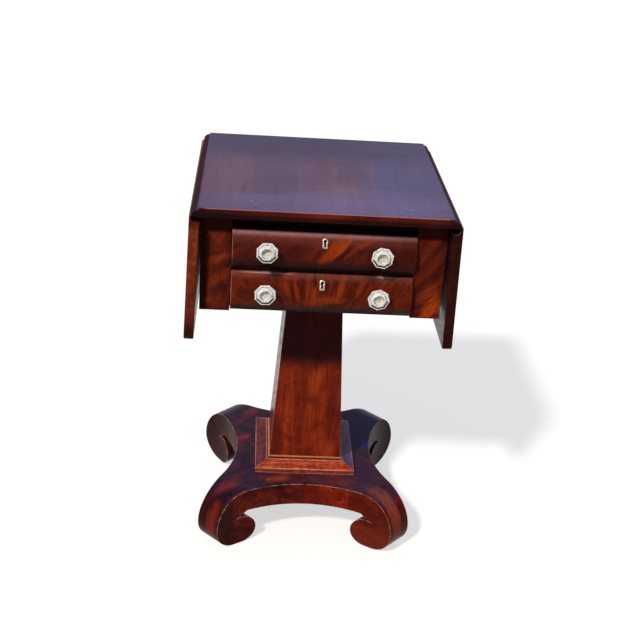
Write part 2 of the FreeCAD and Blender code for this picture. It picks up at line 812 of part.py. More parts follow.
def make_front(prefix, front_base, box_low, box_high):
    body = body_of(f"{prefix}_front_body")
    half = opening_half - s.front_side_gap
    middle = s.front_height / 2
    crown = front_edge - s.front_bulge
    points = [(front_back, 0), (front_back, s.front_height),
              (front_edge, s.front_height), (front_edge, 0)]
    outline = sketch(body, "YZ_Plane", f"{prefix}_front_outline", points,
                     {2: ((cushion_centre, middle), True)})
    bar = pad(body, f"{prefix}_front_pad", outline, half * 2)
    ease(body, f"{prefix}_front_arris", bar, s.arris_round, lambda b: near(b.YMax, front_edge))
    place(body, 0, 0, front_base)
    centre = front_base + middle
    x, y, z = lock_box(prefix, front_base)
    tools = [box(f"{prefix}_lock_inlet", x, (y[0], y[1] + s.overrun), (z[0], z[1]))]
    key_middle = centre + s.keyhole_above_middle
    deep = cushion_surface(s.keyhole_above_middle) + s.escutcheon_depth
    tools.append(keyhole_solid(f"{prefix}_key_wide", s.escutcheon_wall, crown - s.overrun, deep,
                               key_middle))
    tools.append(keyhole_solid(f"{prefix}_key_way", 0, crown - s.overrun, y[0] + s.overrun, key_middle))
    for side in ("left", "right"):
        at = s.knob_half_span * sign(side)
        height = centre + s.knob_above_middle
        tools.append(rod(f"{prefix}_{side}_seat", s.knob_seat_radius, knob_seat() - crown + s.overrun,
                         (at, crown - s.overrun, height), "y"))
        tools.append(rod(f"{prefix}_{side}_bolt_hole", s.knob_bolt_radius, front_back - crown + s.overrun,
                         (at, crown, height), "y"))
    node(f"{prefix}_drawer_front", cut(f"{prefix}_front_cut", body, tools))


def make_drawer(prefix, front_base, opening_low, opening_high):
    low = opening_low + s.drawer_run_gap
    high = opening_high - s.drawer_top_gap
    back = back_inner - s.drawer_end_gap
    outer = opening_half - s.drawer_side_gap
    inner = outer - s.drawer_side_thick
    floor_low = low + s.drawer_bottom_rise
    floor_high = floor_low + s.drawer_bottom_thick
    make_front(prefix, front_base, low, high)
    for side in ("left", "right"):
        plank = box(f"{prefix}_{side}_plank", both(inner, outer, side), (front_back, back), (low, high))
        groove = box(f"{prefix}_{side}_groove", both(inner - s.overrun, inner + s.drawer_groove, side),
                     (front_back - s.overrun, back + s.overrun), (floor_low, floor_high))
        node(f"{prefix}_drawer_side_{side}", cut(f"{prefix}_{side}_grooved", plank, [groove]))
    end = box(f"{prefix}_back_plank", (-inner, inner), (back - s.drawer_back_thick, back),
              (floor_high, high))
    node(f"{prefix}_drawer_back", end)
    wide = inner + s.drawer_groove
    floor = box(f"{prefix}_floor", (-wide, wide), (front_back, back), (floor_low, floor_high))
    node(f"{prefix}_drawer_bottom", floor)
    make_lock(prefix, front_base)
    knobs, fittings = [], []
    height = front_base + s.front_height / 2 + s.knob_above_middle
    for side in ("left", "right"):
        knob, fitting = make_pull(f"{prefix}_{side}_pull", s.knob_half_span * sign(side), height)
        knobs.append(knob)
        fittings += fitting
    node(f"{prefix}_drawer_knobs", group(f"{prefix}_knobs", knobs))
    node(f"{prefix}_knob_fittings", group(f"{prefix}_fittings", fittings))


def make_pull(name, x, height):
    """A knob standing out of its seat, and its bolt with collar and nut. Local +Z points forwards."""
    forward = turned((1, 0, 0), 90)
    seat = knob_seat()
    glass = place(glass_knob(f"{name}_glass"), x, seat - s.collar_thick, height, rotation=forward)
    collar = rod(f"{name}_collar", s.collar_radius, s.collar_thick,
                 (x, seat - s.collar_thick, height), "y")
    start = seat - s.collar_thick - s.knob_bolt_grip
    nut_face = front_back
    end = nut_face + s.knob_nut_thick + s.knob_bolt_spare
    shank = rod(f"{name}_shank", s.knob_bolt_radius, end - start, (x, start, height), "y")
    bolt = fuse(f"{name}_bolt", [collar, shank])
    half = s.knob_nut_across / 2
    blank = box(f"{name}_nut_blank", (x - half, x + half), (nut_face, nut_face + s.knob_nut_thick),
                (height - half, height + half))
    thread = rod(f"{name}_thread", s.knob_bolt_radius, s.knob_nut_thick, (x, nut_face, height), "y")
    return glass, [bolt, cut(f"{name}_nut", blank, [thread])]


def glass_knob(name):
    """Round neck, flare to the eight-sided rim, bevel to the face, a dish in the face, a bolt hole."""
    glass_length = s.knob_length - s.collar_thick
    rim_low = glass_length - s.knob_bevel - s.knob_rim_thick
    neck_length = rim_low / 2
    neck = rod(f"{name}_neck", s.knob_neck_radius, neck_length, (0, 0, 0))
    half = s.knob_across / 2
    stages = [("flare", s.knob_neck_radius, half, neck_length, rim_low),
              ("rim", half, half, rim_low, glass_length - s.knob_bevel),
              ("bevel", half, half - s.knob_bevel_inset, glass_length - s.knob_bevel, glass_length)]
    pieces = [neck]
    for stage, low_half, high_half, low, high in stages:
        piece = tapered(f"{name}_{stage}", eight_sides(low_half), eight_sides(high_half), high - low)
        pieces.append(place(piece, 0, 0, low))
    hole = rod(f"{name}_hole", s.knob_bolt_radius, s.knob_bolt_grip, (0, 0, 0))
    dish_radius = half - s.knob_bevel_inset
    dish = doc.addObject("Part::Sphere", f"{name}_dish")
    bind(dish, "Radius", dish_radius * 2)
    place(dish, 0, 0, glass_length + dish_radius * 2 - s.knob_bevel / 3)
    return cut(name, fuse(f"{name}_solid", pieces), [hole, dish])


def eight_sides(half):
    """The corners of an octagon, half its width across the flats."""
    flat = half * math.tan(math.pi / 8)
    return [(half, -flat), (half, flat), (flat, half), (-flat, half),
            (-half, flat), (-half, -flat), (-flat, -half), (flat, -half)]


# Pillar and plinth

QUARTER_TURNS = {"right": 0, "back": 90, "left": 180, "front": 270}


def pillar_board(name):
    """One of four mitred boards of the tapered hollow pillar, on its right side."""
    def outline(half):
        inner = half - s.pillar_board_thick
        return [(inner, -inner), (half, -half), (half, half), (inner, inner)]
    return tapered(name, outline(s.pillar_half_foot), outline(s.pillar_half_top), pillar_height)


def pillar_inner(height):
    """Half the width inside the pillar, at a height above its foot."""
    share = as_size(height) / pillar_height
    outer = s.pillar_half_foot - (s.pillar_half_foot - s.pillar_half_top) * share
    return outer - s.pillar_board_thick


def case_screw_places():
    span = s.case_screw_half_span
    return [(span * a, span * b) for a in (-1, 1) for b in (-1, 1)]


def case_screw_tools():
    """Flush holes in the bottom of the case."""
    tools = []
    for number, (x, y) in enumerate(case_screw_places()):
        tools.append(rod(f"case_shank{number}", s.screw_radius, s.rail_thick + s.overrun,
                         (x, y, case_low - s.overrun)))
        tools.append(rod(f"case_head{number}", s.screw_head_radius, s.screw_head_thick,
                         (x, y, bottom_high - s.screw_head_thick)))
    return tools


def base_screw_places():
    span = s.base_screw_half_span
    return [(span * a, span * b) for a in (-1, 1) for b in (-1, 1)]


def make_pillar():
    for side, degrees in QUARTER_TURNS.items():
        board = pillar_board(f"pillar_{side}")
        place(board, 0, 0, pillar_foot, rotation=turned((0, 0, 1), degrees))
        node(f"pillar_board_{side}", board)
    low = pillar_height - s.pillar_block_height
    plug = tapered("pillar_plug", square(pillar_inner(low)), square(pillar_inner(pillar_height)),
                   s.pillar_block_height)
    place(plug, 0, 0, pillar_foot + low)
    start = case_low - s.case_screw_bite
    holes = [rod(f"plug_hole{n}", s.screw_radius, s.case_screw_bite, (x, y, start))
             for n, (x, y) in enumerate(case_screw_places())]
    node("pillar_top_block", cut("plug_bored", plug, holes))
    screws = [long_screw(f"case_screw{n}", x, y, bottom_high, s.rail_thick + s.case_screw_bite, False)
              for n, (x, y) in enumerate(case_screw_places())]
    under = s.platform_height - s.platform_thick
    screws += [long_screw(f"base_screw{n}", x, y, under, s.platform_thick + s.base_screw_bite, True)
               for n, (x, y) in enumerate(base_screw_places())]
    node("pillar_screws", group("pillar_screw_set", screws))


def make_plinth():
    half = s.plinth_half
    body = block("plinth_body", (-half, half), (-half, half), (s.platform_height, pillar_foot),
                 s.plinth_round, lambda b: near(b.ZMin, s.plinth_height))
    stub = tapered("plinth_stub", square(pillar_inner(0)), square(pillar_inner(s.pillar_stub_height)),
                   s.pillar_stub_height)
    place(stub, 0, 0, pillar_foot)
    holes = [rod(f"plinth_hole{n}", s.screw_radius, s.base_screw_bite, (x, y, s.platform_height))
             for n, (x, y) in enumerate(base_screw_places())]
    node("plinth_block", cut("plinth_bored", fuse("plinth_solid", [body, stub]), holes))
    for side, degrees in QUARTER_TURNS.items():
        place_moulding(side, degrees)


def outside_quarter(reach, side_points=()):
    """The outline of all that lies beyond a quarter about +X, inside a square of a given reach."""
    upper = list(side_points) or [(reach, reach)]
    lower = [(x, -y) for x, y in reversed(upper)]
    corner = [] if not side_points else [(reach, reach)]
    other = [] if not side_points else [(reach, -reach)]
    back = [(-s.overrun, reach), (-s.overrun, -reach)]
    return [(0, 0)] + upper + corner + back + other + lower


def place_moulding(side, degrees):
    name = f"moulding_{side}"
    body = body_of(name)
    outer, inner = s.moulding_half, s.plinth_half
    points = [(inner, 0), (outer, 0), (outer, s.moulding_edge),
              (inner + s.moulding_flat, s.moulding_height), (inner, s.moulding_height)]
    bar = pad(body, f"{name}_bar", sketch(body, "XZ_Plane", f"{name}_section", points), outer * 2)
    ease(body, f"{name}_arris", bar, s.moulding_round,
         lambda b: near(b.XMin, outer) and near(b.ZMin, s.moulding_edge))
    mitres = sketch(body, "XY_Plane", f"{name}_mitres", outside_quarter(outer + s.overrun))
    pocket(body, f"{name}_ends", mitres, s.moulding_height * 2 + s.overrun)
    place(body, 0, 0, s.platform_height, rotation=turned((0, 0, 1), degrees))
    node(f"plinth_moulding_{side}", body)


# Platform quarters with scroll feet

CORNERS = ("back_right", "back_left", "front_left", "front_right")


def make_foot(corner):
    """A quarter of the platform, made along +X and turned to its diagonal."""
    body = body_of(f"foot_{corner}")
    high = s.platform_height
    under = high - s.platform_thick
    round_low = high - s.foot_round_high
    shoulder = s.foot_reach - s.foot_round_high
    heel = s.foot_reach - round_low
    scroll_middle = s.scroll_inner_reach + s.scroll_radius
    tip_out = s.scroll_radius * s.slit_tip_share
    tip_height = s.scroll_radius + root(s.scroll_radius * s.scroll_radius - tip_out * tip_out)
    points = [(0, under), (0, high), (shoulder, high), (s.foot_reach, round_low), (heel, 0),
              (scroll_middle, 0), (scroll_middle + tip_out, tip_height),
              (scroll_middle - s.slit_mouth_in, under)]
    arcs = {2: ((shoulder, round_low), False), 3: ((heel, round_low), False),
            5: ((scroll_middle, s.scroll_radius), False)}
    profile = sketch(body, "XZ_Plane", f"foot_{corner}_profile", points, arcs)
    reach = s.foot_reach + s.overrun
    pad(body, f"foot_{corner}_pad", profile, reach * 2)
    hollow = s.platform_hollow_radius
    centre = (s.platform_waist + hollow) / math.sqrt(2)
    waist = s.platform_waist / math.sqrt(2)
    far = centre - root(hollow * hollow - (reach - centre) * (reach - centre))
    outline = outside_quarter(reach, [(waist, waist), (reach, far)])
    plan = sketch(body, "XY_Plane", f"foot_{corner}_plan", outline,
                  {1: ((centre, centre), True), 7: ((centre, -centre), True)})
    pocket(body, f"foot_{corner}_sides", plan, high * 2 + s.overrun)
    out = s.base_screw_half_span * math.sqrt(2)
    shank = rod(f"foot_{corner}_shank", s.screw_radius, s.platform_thick, (out, 0, under))
    head = rod(f"foot_{corner}_head", s.screw_head_radius, s.screw_head_thick, (out, 0, under))
    bored = cut(f"foot_{corner}_bored", body, [shank, head])
    turn_deg = 90 * CORNERS.index(corner) + 45
    node(f"base_foot_{corner}", place(bored, rotation=turned((0, 0, 1), turn_deg)))


def make_table():
    make_top()
    make_leaf("left")
    make_leaf("right")
    make_hinges()
    make_case()
    make_drawer("upper", upper_front_base, divider_high, top_rail_low)
    make_drawer("lower", lower_front_base, bottom_high, divider_low)
    make_pillar()
    make_plinth()
    for corner in CORNERS:
        make_foot(corner)


def check_and_write():
    """Stop on any failed object or bad shape, then write each piece to its own file."""
    doc.recompute()
    failed = [obj.Name for obj in doc.Objects if {"Invalid", "Error"} & set(obj.State)]
    if failed:
        raise RuntimeError(f"failed objects: {failed}")
    for obj in NODES:
        if obj.Shape.isNull() or not obj.Shape.isValid() or not obj.Shape.Solids:
            raise RuntimeError(f"bad shape: {obj.Label}")
    os.makedirs("parts", exist_ok=True)
    for obj in NODES:
        obj.Shape.exportStep(os.path.join("parts", f"{obj.Label}.step"))
    print(f"{len(NODES)} nodes, {sum(len(obj.Shape.Solids) for obj in NODES)} solids")


make_table()
check_and_write()
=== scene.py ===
"""The dressed drop-leaf table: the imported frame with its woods, metals and glass, on a pale floor."""
import math
import bmesh
import bpy
from mathutils import Matrix, Vector


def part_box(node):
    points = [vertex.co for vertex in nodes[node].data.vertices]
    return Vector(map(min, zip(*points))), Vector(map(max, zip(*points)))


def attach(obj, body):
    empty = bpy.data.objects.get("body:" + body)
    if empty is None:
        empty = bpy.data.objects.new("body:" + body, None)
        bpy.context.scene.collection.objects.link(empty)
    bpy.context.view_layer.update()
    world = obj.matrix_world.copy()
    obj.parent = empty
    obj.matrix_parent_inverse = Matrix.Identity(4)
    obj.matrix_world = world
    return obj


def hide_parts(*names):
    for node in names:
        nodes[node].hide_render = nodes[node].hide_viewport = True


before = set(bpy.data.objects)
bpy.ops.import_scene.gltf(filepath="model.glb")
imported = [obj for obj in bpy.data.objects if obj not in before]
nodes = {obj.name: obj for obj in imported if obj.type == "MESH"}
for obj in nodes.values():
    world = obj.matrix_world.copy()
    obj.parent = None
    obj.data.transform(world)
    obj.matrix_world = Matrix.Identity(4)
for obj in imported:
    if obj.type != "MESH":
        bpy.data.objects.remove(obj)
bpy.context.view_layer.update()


# Colours and node graphs

def rgb(code):
    """A six-digit colour as linear values."""
    parts = [int(code[i:i + 2], 16) / 255 for i in (0, 2, 4)]
    return [c / 12.92 if c <= 0.04045 else ((c + 0.055) / 1.055) ** 2.4 for c in parts] + [1.0]


class Graph:
    """A node tree, filled by short calls that give back an output socket."""

    def __init__(self, name, tree=None):
        if tree is None:
            self.material = bpy.data.materials.new(name)
            self.material.use_nodes = True
            tree = self.material.node_tree
        self.tree = tree
        self.tree.nodes.clear()

    def put(self, socket, value):
        if isinstance(value, bpy.types.NodeSocket):
            self.tree.links.new(value, socket)
        elif value is not None:
            socket.default_value = value

    def node(self, kind, inputs=(), **settings):
        made = self.tree.nodes.new(kind)
        for key, value in settings.items():
            setattr(made, key, value)
        for key, value in dict(inputs).items():
            self.put(made.inputs[key], value)
        return made

    def math(self, operation, a, b=None, clamp=False):
        made = self.node("ShaderNodeMath", operation=operation, use_clamp=clamp)
        for socket, value in zip(made.inputs, (a, b)):
            self.put(socket, value)
        return made.outputs[0]

    def add(self, *values):
        total = values[0]
        for value in values[1:]:
            total = self.math("ADD", total, value)
        return total

    def times(self, a, b):
        return self.math("MULTIPLY", a, b)

    def swing(self, value, size):
        """A noise of zero to one as a swing to both sides of zero."""
        return self.times(self.math("SUBTRACT", value, 0.5), size)

    def ramp(self, value, low, high, to_low=0.0, to_high=1.0):
        """A value carried softly from one range to another, held at the ends."""
        made = self.node("ShaderNodeMapRange", interpolation_type="SMOOTHSTEP", clamp=True)
        for key, number in (("Value", value), ("From Min", low), ("From Max", high),
                            ("To Min", to_low), ("To Max", to_high)):
            self.put(made.inputs[key], number)
        return made.outputs["Result"]

    def mix(self, share, a, b):
        made = self.node("ShaderNodeMix", data_type="RGBA", clamp_factor=True)
        for key, value in ((0, share), (6, a), (7, b)):
            self.put(made.inputs[key], value)
        return made.outputs[2]

    def colours(self, value, stops):
        """A colour band: stops are pairs of place and colour."""
        made = self.node("ShaderNodeValToRGB", {"Fac": value})
        band = made.color_ramp
        while len(band.elements) < len(stops):
            band.elements.new(0.5)
        for element, (place, colour) in zip(band.elements, stops):
            element.position = place
            element.color = colour
        return made.outputs["Color"]

    def vector(self, x, y, z):
        made = self.node("ShaderNodeCombineXYZ")
        for socket, value in zip(made.inputs, (x, y, z)):
            self.put(socket, value)
        return made.outputs[0]

    def split(self, vector):
        return self.node("ShaderNodeSeparateXYZ", {"Vector": vector}).outputs

    def axis(self, vector, letter):
        """One axis of a vector, by its letter."""
        return self.split(vector)["xyz".index(letter)]

    def vmath(self, operation, a, b=None, scale=None):
        made = self.node("ShaderNodeVectorMath", operation=operation)
        self.put(made.inputs[0], a)
        if b is not None:
            self.put(made.inputs[1], b)
        if scale is not None:
            self.put(made.inputs["Scale"], scale)
        return made.outputs[1 if operation in ("DOT_PRODUCT", "LENGTH") else 0]

    def noise(self, vector, scale, detail=3.0, rough=0.5, warp=0.0, offset=None):
        if offset:
            vector = self.vmath("ADD", vector, offset)
        made = self.node("ShaderNodeTexNoise", {
            "Vector": vector, "Scale": scale, "Detail": detail, "Roughness": rough, "Distortion": warp})
        return made.outputs[0]

    def coordinate(self, which="Object"):
        return self.node("ShaderNodeTexCoord").outputs[which]

    def bump(self, height, strength, distance, normal=None):
        return self.node("ShaderNodeBump", {
            "Strength": strength, "Distance": distance, "Height": height, "Normal": normal}).outputs[0]

    def finish(self, **shader):
        """A Principled surface; a key's underscores stand for spaces."""
        made = self.node("ShaderNodeBsdfPrincipled")
        for key, value in shader.items():
            self.put(made.inputs[key.replace("_", " ")], value)
        self.node("ShaderNodeOutputMaterial", {"Surface": made.outputs[0]})
        return self.material


# Mahogany

QUARTER = math.pi / 2
# Turns of a board's own frame: X along the grain, Y across it, Z through the board
ALONG_X_FACING_FRONT = (QUARTER, 0, 0)
ALONG_Y_FACING_UP = (0, 0, QUARTER)
ALONG_Y_FACING_SIDE = (QUARTER, 0, QUARTER)
UPRIGHT_FACING_FRONT = (QUARTER, -QUARTER, 0)
UPRIGHT_FACING_SIDE = (0, -QUARTER, 0)
# Places of a wood's three tones on its colour band, from dark to light
TONE_PLACES = (0.16, 0.5, 0.84)
PORE_COLOUR = "160506"
BEVEL_SAMPLES = 5


def board_place(g, at, turn):
    """Object coordinates in a board's own frame."""
    return g.node("ShaderNodeMapping", {"Vector": g.coordinate(), "Location": at, "Rotation": turn},
                  vector_type="TEXTURE").outputs[0]


def fan_lines(g, x, y, focus, spread):
    """Distance and swept arc about a focus, for a flame figure that spreads from it."""
    dx = g.math("SUBTRACT", x, focus[0])
    dy = g.math("SUBTRACT", y, focus[1])
    along = g.math("SQRT", g.add(g.times(dx, dx), g.times(dy, dy)))
    return along, g.times(g.math("ARCTAN2", dx, g.math("ABSOLUTE", dy)), spread)


def spot(g, place, axes, at, size, turn_deg, ragged, seed):
    """One inside a long soft flame with feathered ends and zero outside it."""
    a, b = (g.math("SUBTRACT", g.axis(place, letter), centre) for letter, centre in zip(axes, at))
    c, s = math.cos(math.radians(turn_deg)), math.sin(math.radians(turn_deg))
    u = g.times(g.add(g.times(a, c), g.times(b, s)), 1 / size[0])
    v = g.times(g.math("SUBTRACT", g.times(b, c), g.times(a, s)), 1 / size[1])
    feather = g.noise(g.vector(g.times(u, 1.1), g.times(v, 3.0), seed), 1.0, 4.0, 0.62, 0.5)
    out = g.add(g.times(u, u), g.times(v, v), g.swing(feather, ragged))
    return g.ramp(out, -0.3, 1.5, 1.0, 0.0)


def mahogany(name, turn, tones, seed, at=(0, 0, 0), fan=None, lines=(9.0, 230.0), band=0.6, mottle=0.35,
             contrast=1.6, stir_size=26.0, shade=(), top_tones=None, flat_axis="z", flat_side=1,
             flat_from=0.65, high_from=0.0, spots=(), spots_above=False, spots_off=None, ragged=3.0,
             pores=0.45, wear=0.6, wear_tone="b98a6a", arris=0.0012, joint_axes="", rough=0.3, scuffs=1.0,
             dull_beyond=None, relief=0.06, gloss=0.2, tint="ff8064"):
    """Varnished mahogany: broad bands, fine fibres and pores that follow the grain or fan out from a focus.

    Each shade is an axis, the places where it starts and is full, a colour and its share. Each spot is a
    pair of axes, its place from the piece's middle, half sizes, a turn in degrees, a colour and its share.
    Both paint figure, wear and darker tone, and also painted shade, painted shadows and painted sheen.
    The face and sheen tones lie on faces that look along the flat axis: the wood's colour there, with a
    painted sky reflection. The spots keep off faces that look along the vector spots_off.
    """
    g = Graph(name)
    world_place = g.coordinate()
    p = board_place(g, at, turn)
    x, y, z = g.split(p)
    wave = g.noise(p, 6.0, 2.0, 0.5, offset=(seed, seed * 0.7, 0))
    along, across = fan_lines(g, x, y, fan[:2], fan[2]) if fan else (x, y)
    across = g.add(across, g.swing(wave, 0.03))
    flow = g.vector(g.times(along, lines[0]), g.times(across, lines[1]), g.times(z, lines[1]))
    broad = g.noise(g.vmath("SCALE", flow, scale=0.13), 1.0, 3.0, 0.55, 0.7, offset=(seed, 3 + seed, 1))
    fine = g.noise(flow, 1.0, 4.0, 0.62, 0.3, offset=(seed, 7 - seed, 2))
    hair = g.noise(g.vmath("MULTIPLY", flow, (1.5, 4.0, 4.0)), 1.0, 2.0, 0.6)
    cloud = g.noise(p, stir_size, 4.0, 0.6, 0.8, offset=(2 * seed, 5, seed))
    tone = g.add(g.times(broad, band), g.times(fine, 1 - band), g.swing(hair, 0.16))
    tone = g.add(g.swing(tone, contrast), g.swing(cloud, mottle), 0.5)
    colour = g.colours(tone, [(place, rgb(code)) for place, code in zip(TONE_PLACES, tones)])
    # Bands along an axis: wear, dust and darker tone, and also painted shade and painted sheen
    for letter, start, end, code, amount in shade:
        part = g.ramp(g.axis(world_place, letter), start, end, 0.0, amount)
        colour = g.mix(part, colour, rgb(code))
    # Faces along the flat axis take the wood's colour with a painted sky reflection
    if top_tones:
        facing = g.times(g.axis(g.coordinate("Normal"), flat_axis), flat_side)
        above = g.ramp(facing, flat_from, min(flat_from + 0.27, 0.999))
        above = g.times(above, g.ramp(g.axis(world_place, "z"), high_from - 0.006, high_from))
        upper = g.colours(tone, [(place, rgb(code)) for place, code in zip(TONE_PLACES, top_tones)])
        colour = g.mix(above, colour, upper)
    # Spots: figure and wear, and also painted shadows and painted reflections
    for number, (axes, spot_at, size, turn_deg, code, amount) in enumerate(spots):
        middle = [at["xyz".index(letter)] + shift for letter, shift in zip(axes, spot_at)]
        inside = spot(g, world_place, axes, middle, size, turn_deg, ragged, seed + 3.7 * number)
        inside = g.times(inside, above) if spots_above else inside
        if spots_off:
            turned = g.math("ABSOLUTE", g.vmath("DOT_PRODUCT", g.coordinate("Normal"), spots_off))
            inside = g.times(inside, g.ramp(turned, 0.15, 0.4, 1.0, 0.0))
        colour = g.mix(g.times(inside, g.ramp(tone, 0.1, 0.7, 0.5 * amount, amount)), colour, rgb(code))
    pore = g.noise(g.vmath("MULTIPLY", flow, (4.0, 3.0, 3.0)), 1.0, 1.0, 0.4)
    pore = g.ramp(pore, 0.60, 0.72, 0.0, pores)
    colour = g.mix(pore, colour, rgb(PORE_COLOUR))
    rounded = g.node("ShaderNodeBevel", {"Radius": arris}, samples=BEVEL_SAMPLES).outputs[0]
    flat = g.node("ShaderNodeNewGeometry").outputs["Normal"]
    turned_away = g.ramp(g.vmath("DOT_PRODUCT", rounded, flat), 0.90, 0.995, 1.0, 0.0)
    scuff = g.noise(world_place, 75.0, 4.0, 0.7, offset=(1, 2, seed))
    rub = g.times(turned_away, g.ramp(scuff, 0.40, 0.62, 0.15, 1.0))
    for letter in joint_axes:
        away = g.math("ABSOLUTE", g.axis(world_place, letter))
        rub = g.times(rub, g.ramp(away, 0.002, 0.005))
    colour = g.mix(g.times(rub, wear), colour, rgb(wear_tone))
    grit = g.ramp(scuff, 0.35, 0.75, rough - 0.07 * scuffs, rough + 0.16 * scuffs)
    if dull_beyond:
        out = g.math("ABSOLUTE", g.axis(world_place, "x"))
        grit = g.add(grit, g.ramp(out, dull_beyond, dull_beyond + 0.001, 0.0, 0.42))
    height = g.math("SUBTRACT", g.add(g.times(hair, 0.6), g.times(scuff, 0.15)), g.times(pore, 0.6))
    return g.finish(Base_Color=colour, Roughness=grit, Normal=g.bump(height, relief, 0.0005, rounded),
                    Specular_IOR_Level=gloss, Specular_Tint=rgb(tint))


# Secondary wood, metals and glass

def plain_wood(name, turn, tones, seed):
    """Planed secondary wood: pale, dry, with soft rings and grime."""
    g = Graph(name)
    p = board_place(g, (0, 0, 0), turn)
    x, y, z = g.split(p)
    wave = g.swing(g.noise(p, 4.0, 2.0, 0.5, offset=(seed, 0, 0)), 0.03)
    flow = g.vector(g.times(x, 4.0), g.times(g.add(y, wave), 130.0), g.times(z, 130.0))
    ring = g.noise(flow, 0.5, 3.0, 0.6, 0.4, offset=(seed, 0, 1))
    fine = g.noise(g.vmath("MULTIPLY", flow, (2, 5, 5)), 1.0, 3.0, 0.6)
    dirt = g.noise(p, 11.0, 4.0, 0.6)
    tone = g.add(g.times(ring, 0.7), g.times(fine, 0.3))
    colour = g.colours(tone, [(0.3, rgb(tones[0])), (0.5, rgb(tones[1])), (0.75, rgb(tones[2]))])
    colour = g.mix(g.ramp(dirt, 0.5, 0.75, 0.0, 0.45), colour, rgb("4d3320"))
    return g.finish(Base_Color=colour, Roughness=g.ramp(fine, 0.3, 0.7, 0.6, 0.8),
                    Normal=g.bump(tone, 0.25, 0.0005), Specular_IOR_Level=0.2)


def metal(name, tones, rough, seed):
    """Aged metal: stained and dull in patches, rubbed bright on its edges."""
    g = Graph(name)
    p = g.coordinate()
    stain = g.noise(p, 240.0, 4.0, 0.65, 0.5, offset=(seed, 0, 0))
    pits = g.noise(p, 1400.0, 2.0, 0.5)
    rounded = g.node("ShaderNodeBevel", {"Radius": 0.0004}, samples=BEVEL_SAMPLES).outputs[0]
    flat = g.node("ShaderNodeNewGeometry").outputs["Normal"]
    edge = g.ramp(g.vmath("DOT_PRODUCT", rounded, flat), 0.90, 0.995, 1.0, 0.0)
    colour = g.colours(stain, [(0.3, rgb(tones[0])), (0.5, rgb(tones[1])), (0.72, rgb(tones[2]))])
    colour = g.mix(g.times(edge, 0.8), colour, rgb(tones[2]))
    return g.finish(Base_Color=colour, Metallic=1.0, Roughness=g.ramp(stain, 0.3, 0.7, rough + 0.15, rough),
                    Normal=g.bump(pits, 0.2, 0.0002, rounded))


def pressed_glass(name, tones, clear):
    """Old pressed glass: faintly clouded, with soft ripples, and clear by a share of zero to one."""
    g = Graph(name)
    p = g.coordinate()
    ripple = g.noise(p, 260.0, 3.0, 0.6, 0.6)
    specks = g.noise(p, 480.0, 3.0, 0.7)
    colour = g.mix(g.ramp(specks, 0.42, 0.62), rgb(tones[0]), rgb(tones[1]))
    return g.finish(Base_Color=colour, Roughness=g.ramp(ripple, 0.3, 0.7, 0.03, 0.12), IOR=1.5,
                    Transmission_Weight=clear, Normal=g.bump(ripple, 0.6, 0.001))


def dress(material, *names):
    for name in names:
        nodes[name].data.materials.clear()
        nodes[name].data.materials.append(material)


def middle_of(name):
    low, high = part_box(name)
    return (low + high) / 2


def dress_board(name, turn, tones, seed, **look):
    """A wood of its own for one piece; its figure and spots are placed from the piece's middle."""
    dress(mahogany(f"{name}_wood", turn, tones, seed, at=middle_of(name), **look), name)


# The leaves' outer faces, which lie beside the top when they are raised: violet-brown, with a fainter painted
# sky reflection like the top's
LEAF_FACE_AND_SHEEN = ("241224", "462432", "6a3a3e")
# The worn left end of a drawer front, as a spot
LEFT_LINE = ("xz", (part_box("upper_drawer_front")[0].x + 0.0009, 0.0), (0.034, 0.0008), 90, "a88880", 0.8)
TOP_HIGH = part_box("top_board")[1].z
# Just inside the step of the rule joint, where the top's flat ends and its round begins
ROUND_FROM = 0.2216
UPPER_MIDDLE = middle_of("upper_drawer_front").z
LOWER_MIDDLE = middle_of("lower_drawer_front").z


# The top, its leaves and the case

dress_board("top_board", ALONG_Y_FACING_UP, ("1c0807", "45150d", "70281a"), 1.3, lines=(3.0, 60.0), band=0.75,
            top_tones=("281f46", "402a50", "5e3c50"), mottle=0.3, contrast=1.25, stir_size=7.0, rough=0.36,
            gloss=0.07, tint="d8b0c8", flat_from=0.93, spots_above=True, wear=0.7, relief=0.03, scuffs=0.15,
            pores=0.15, ragged=1.8,
            # The broad violet, blue and mauve spots, darker at the back and lighter at the front, and the flat
            # face's violet tones and tint paint the sky's reflection; the small pale spots are scratches
            spots=(("xy", (-0.165, -0.05), (0.20, 0.06), 86, "6a4c5e", 0.55),
                   ("xy", (-0.060, 0.05), (0.24, 0.05), 88, "5e4262", 0.4),
                   ("xy", (0.160, -0.050), (0.24, 0.09), 90, "40467a", 0.6),
                   ("xy", (0.05, 0.20), (0.34, 0.15), 0, "1a1046", 0.9),
                   ("xy", (-0.12, 0.20), (0.20, 0.13), 0, "20103e", 0.8),
                   ("xy", (0.045, -0.130), (0.10, 0.04), 80, "66465a", 0.5),
                   ("xy", (0.03, -0.185), (0.25, 0.09), 0, "605484", 0.68),
                   ("xy", (-0.146, -0.103), (0.05, 0.006), 84, "2c2038", 0.6),
                   ("xy", (-0.124, -0.195), (0.008, 0.0012), 40, "a898b8", 0.7),
                   ("xy", (-0.132, -0.180), (0.005, 0.0012), 70, "a898b8", 0.6),
                   ("xy", (0.140, -0.179), (0.006, 0.0014), -50, "a8a0c0", 0.6),
                   ("xy", (0.150, -0.190), (0.006, 0.0012), 20, "a8a0c0", 0.6)),
            # Darker towards the ends of the front edge; a painted shade on the lower part of the edges, and a
            # pale line on the front arris that is wear and a painted highlight
            shade=(("x", -0.120, -0.190, "1c0c0e", 0.6),
                   ("z", TOP_HIGH - 0.006, TOP_HIGH - 0.012, "0e0405", 0.8),
                   ("z", TOP_HIGH - 0.0015, TOP_HIGH - 0.0008, "a87880", 0.6),
                   ("x", -0.204, -0.216, "18080c", 0.75), ("x", 0.206, 0.218, "180a10", 0.7)),
            dull_beyond=ROUND_FROM)
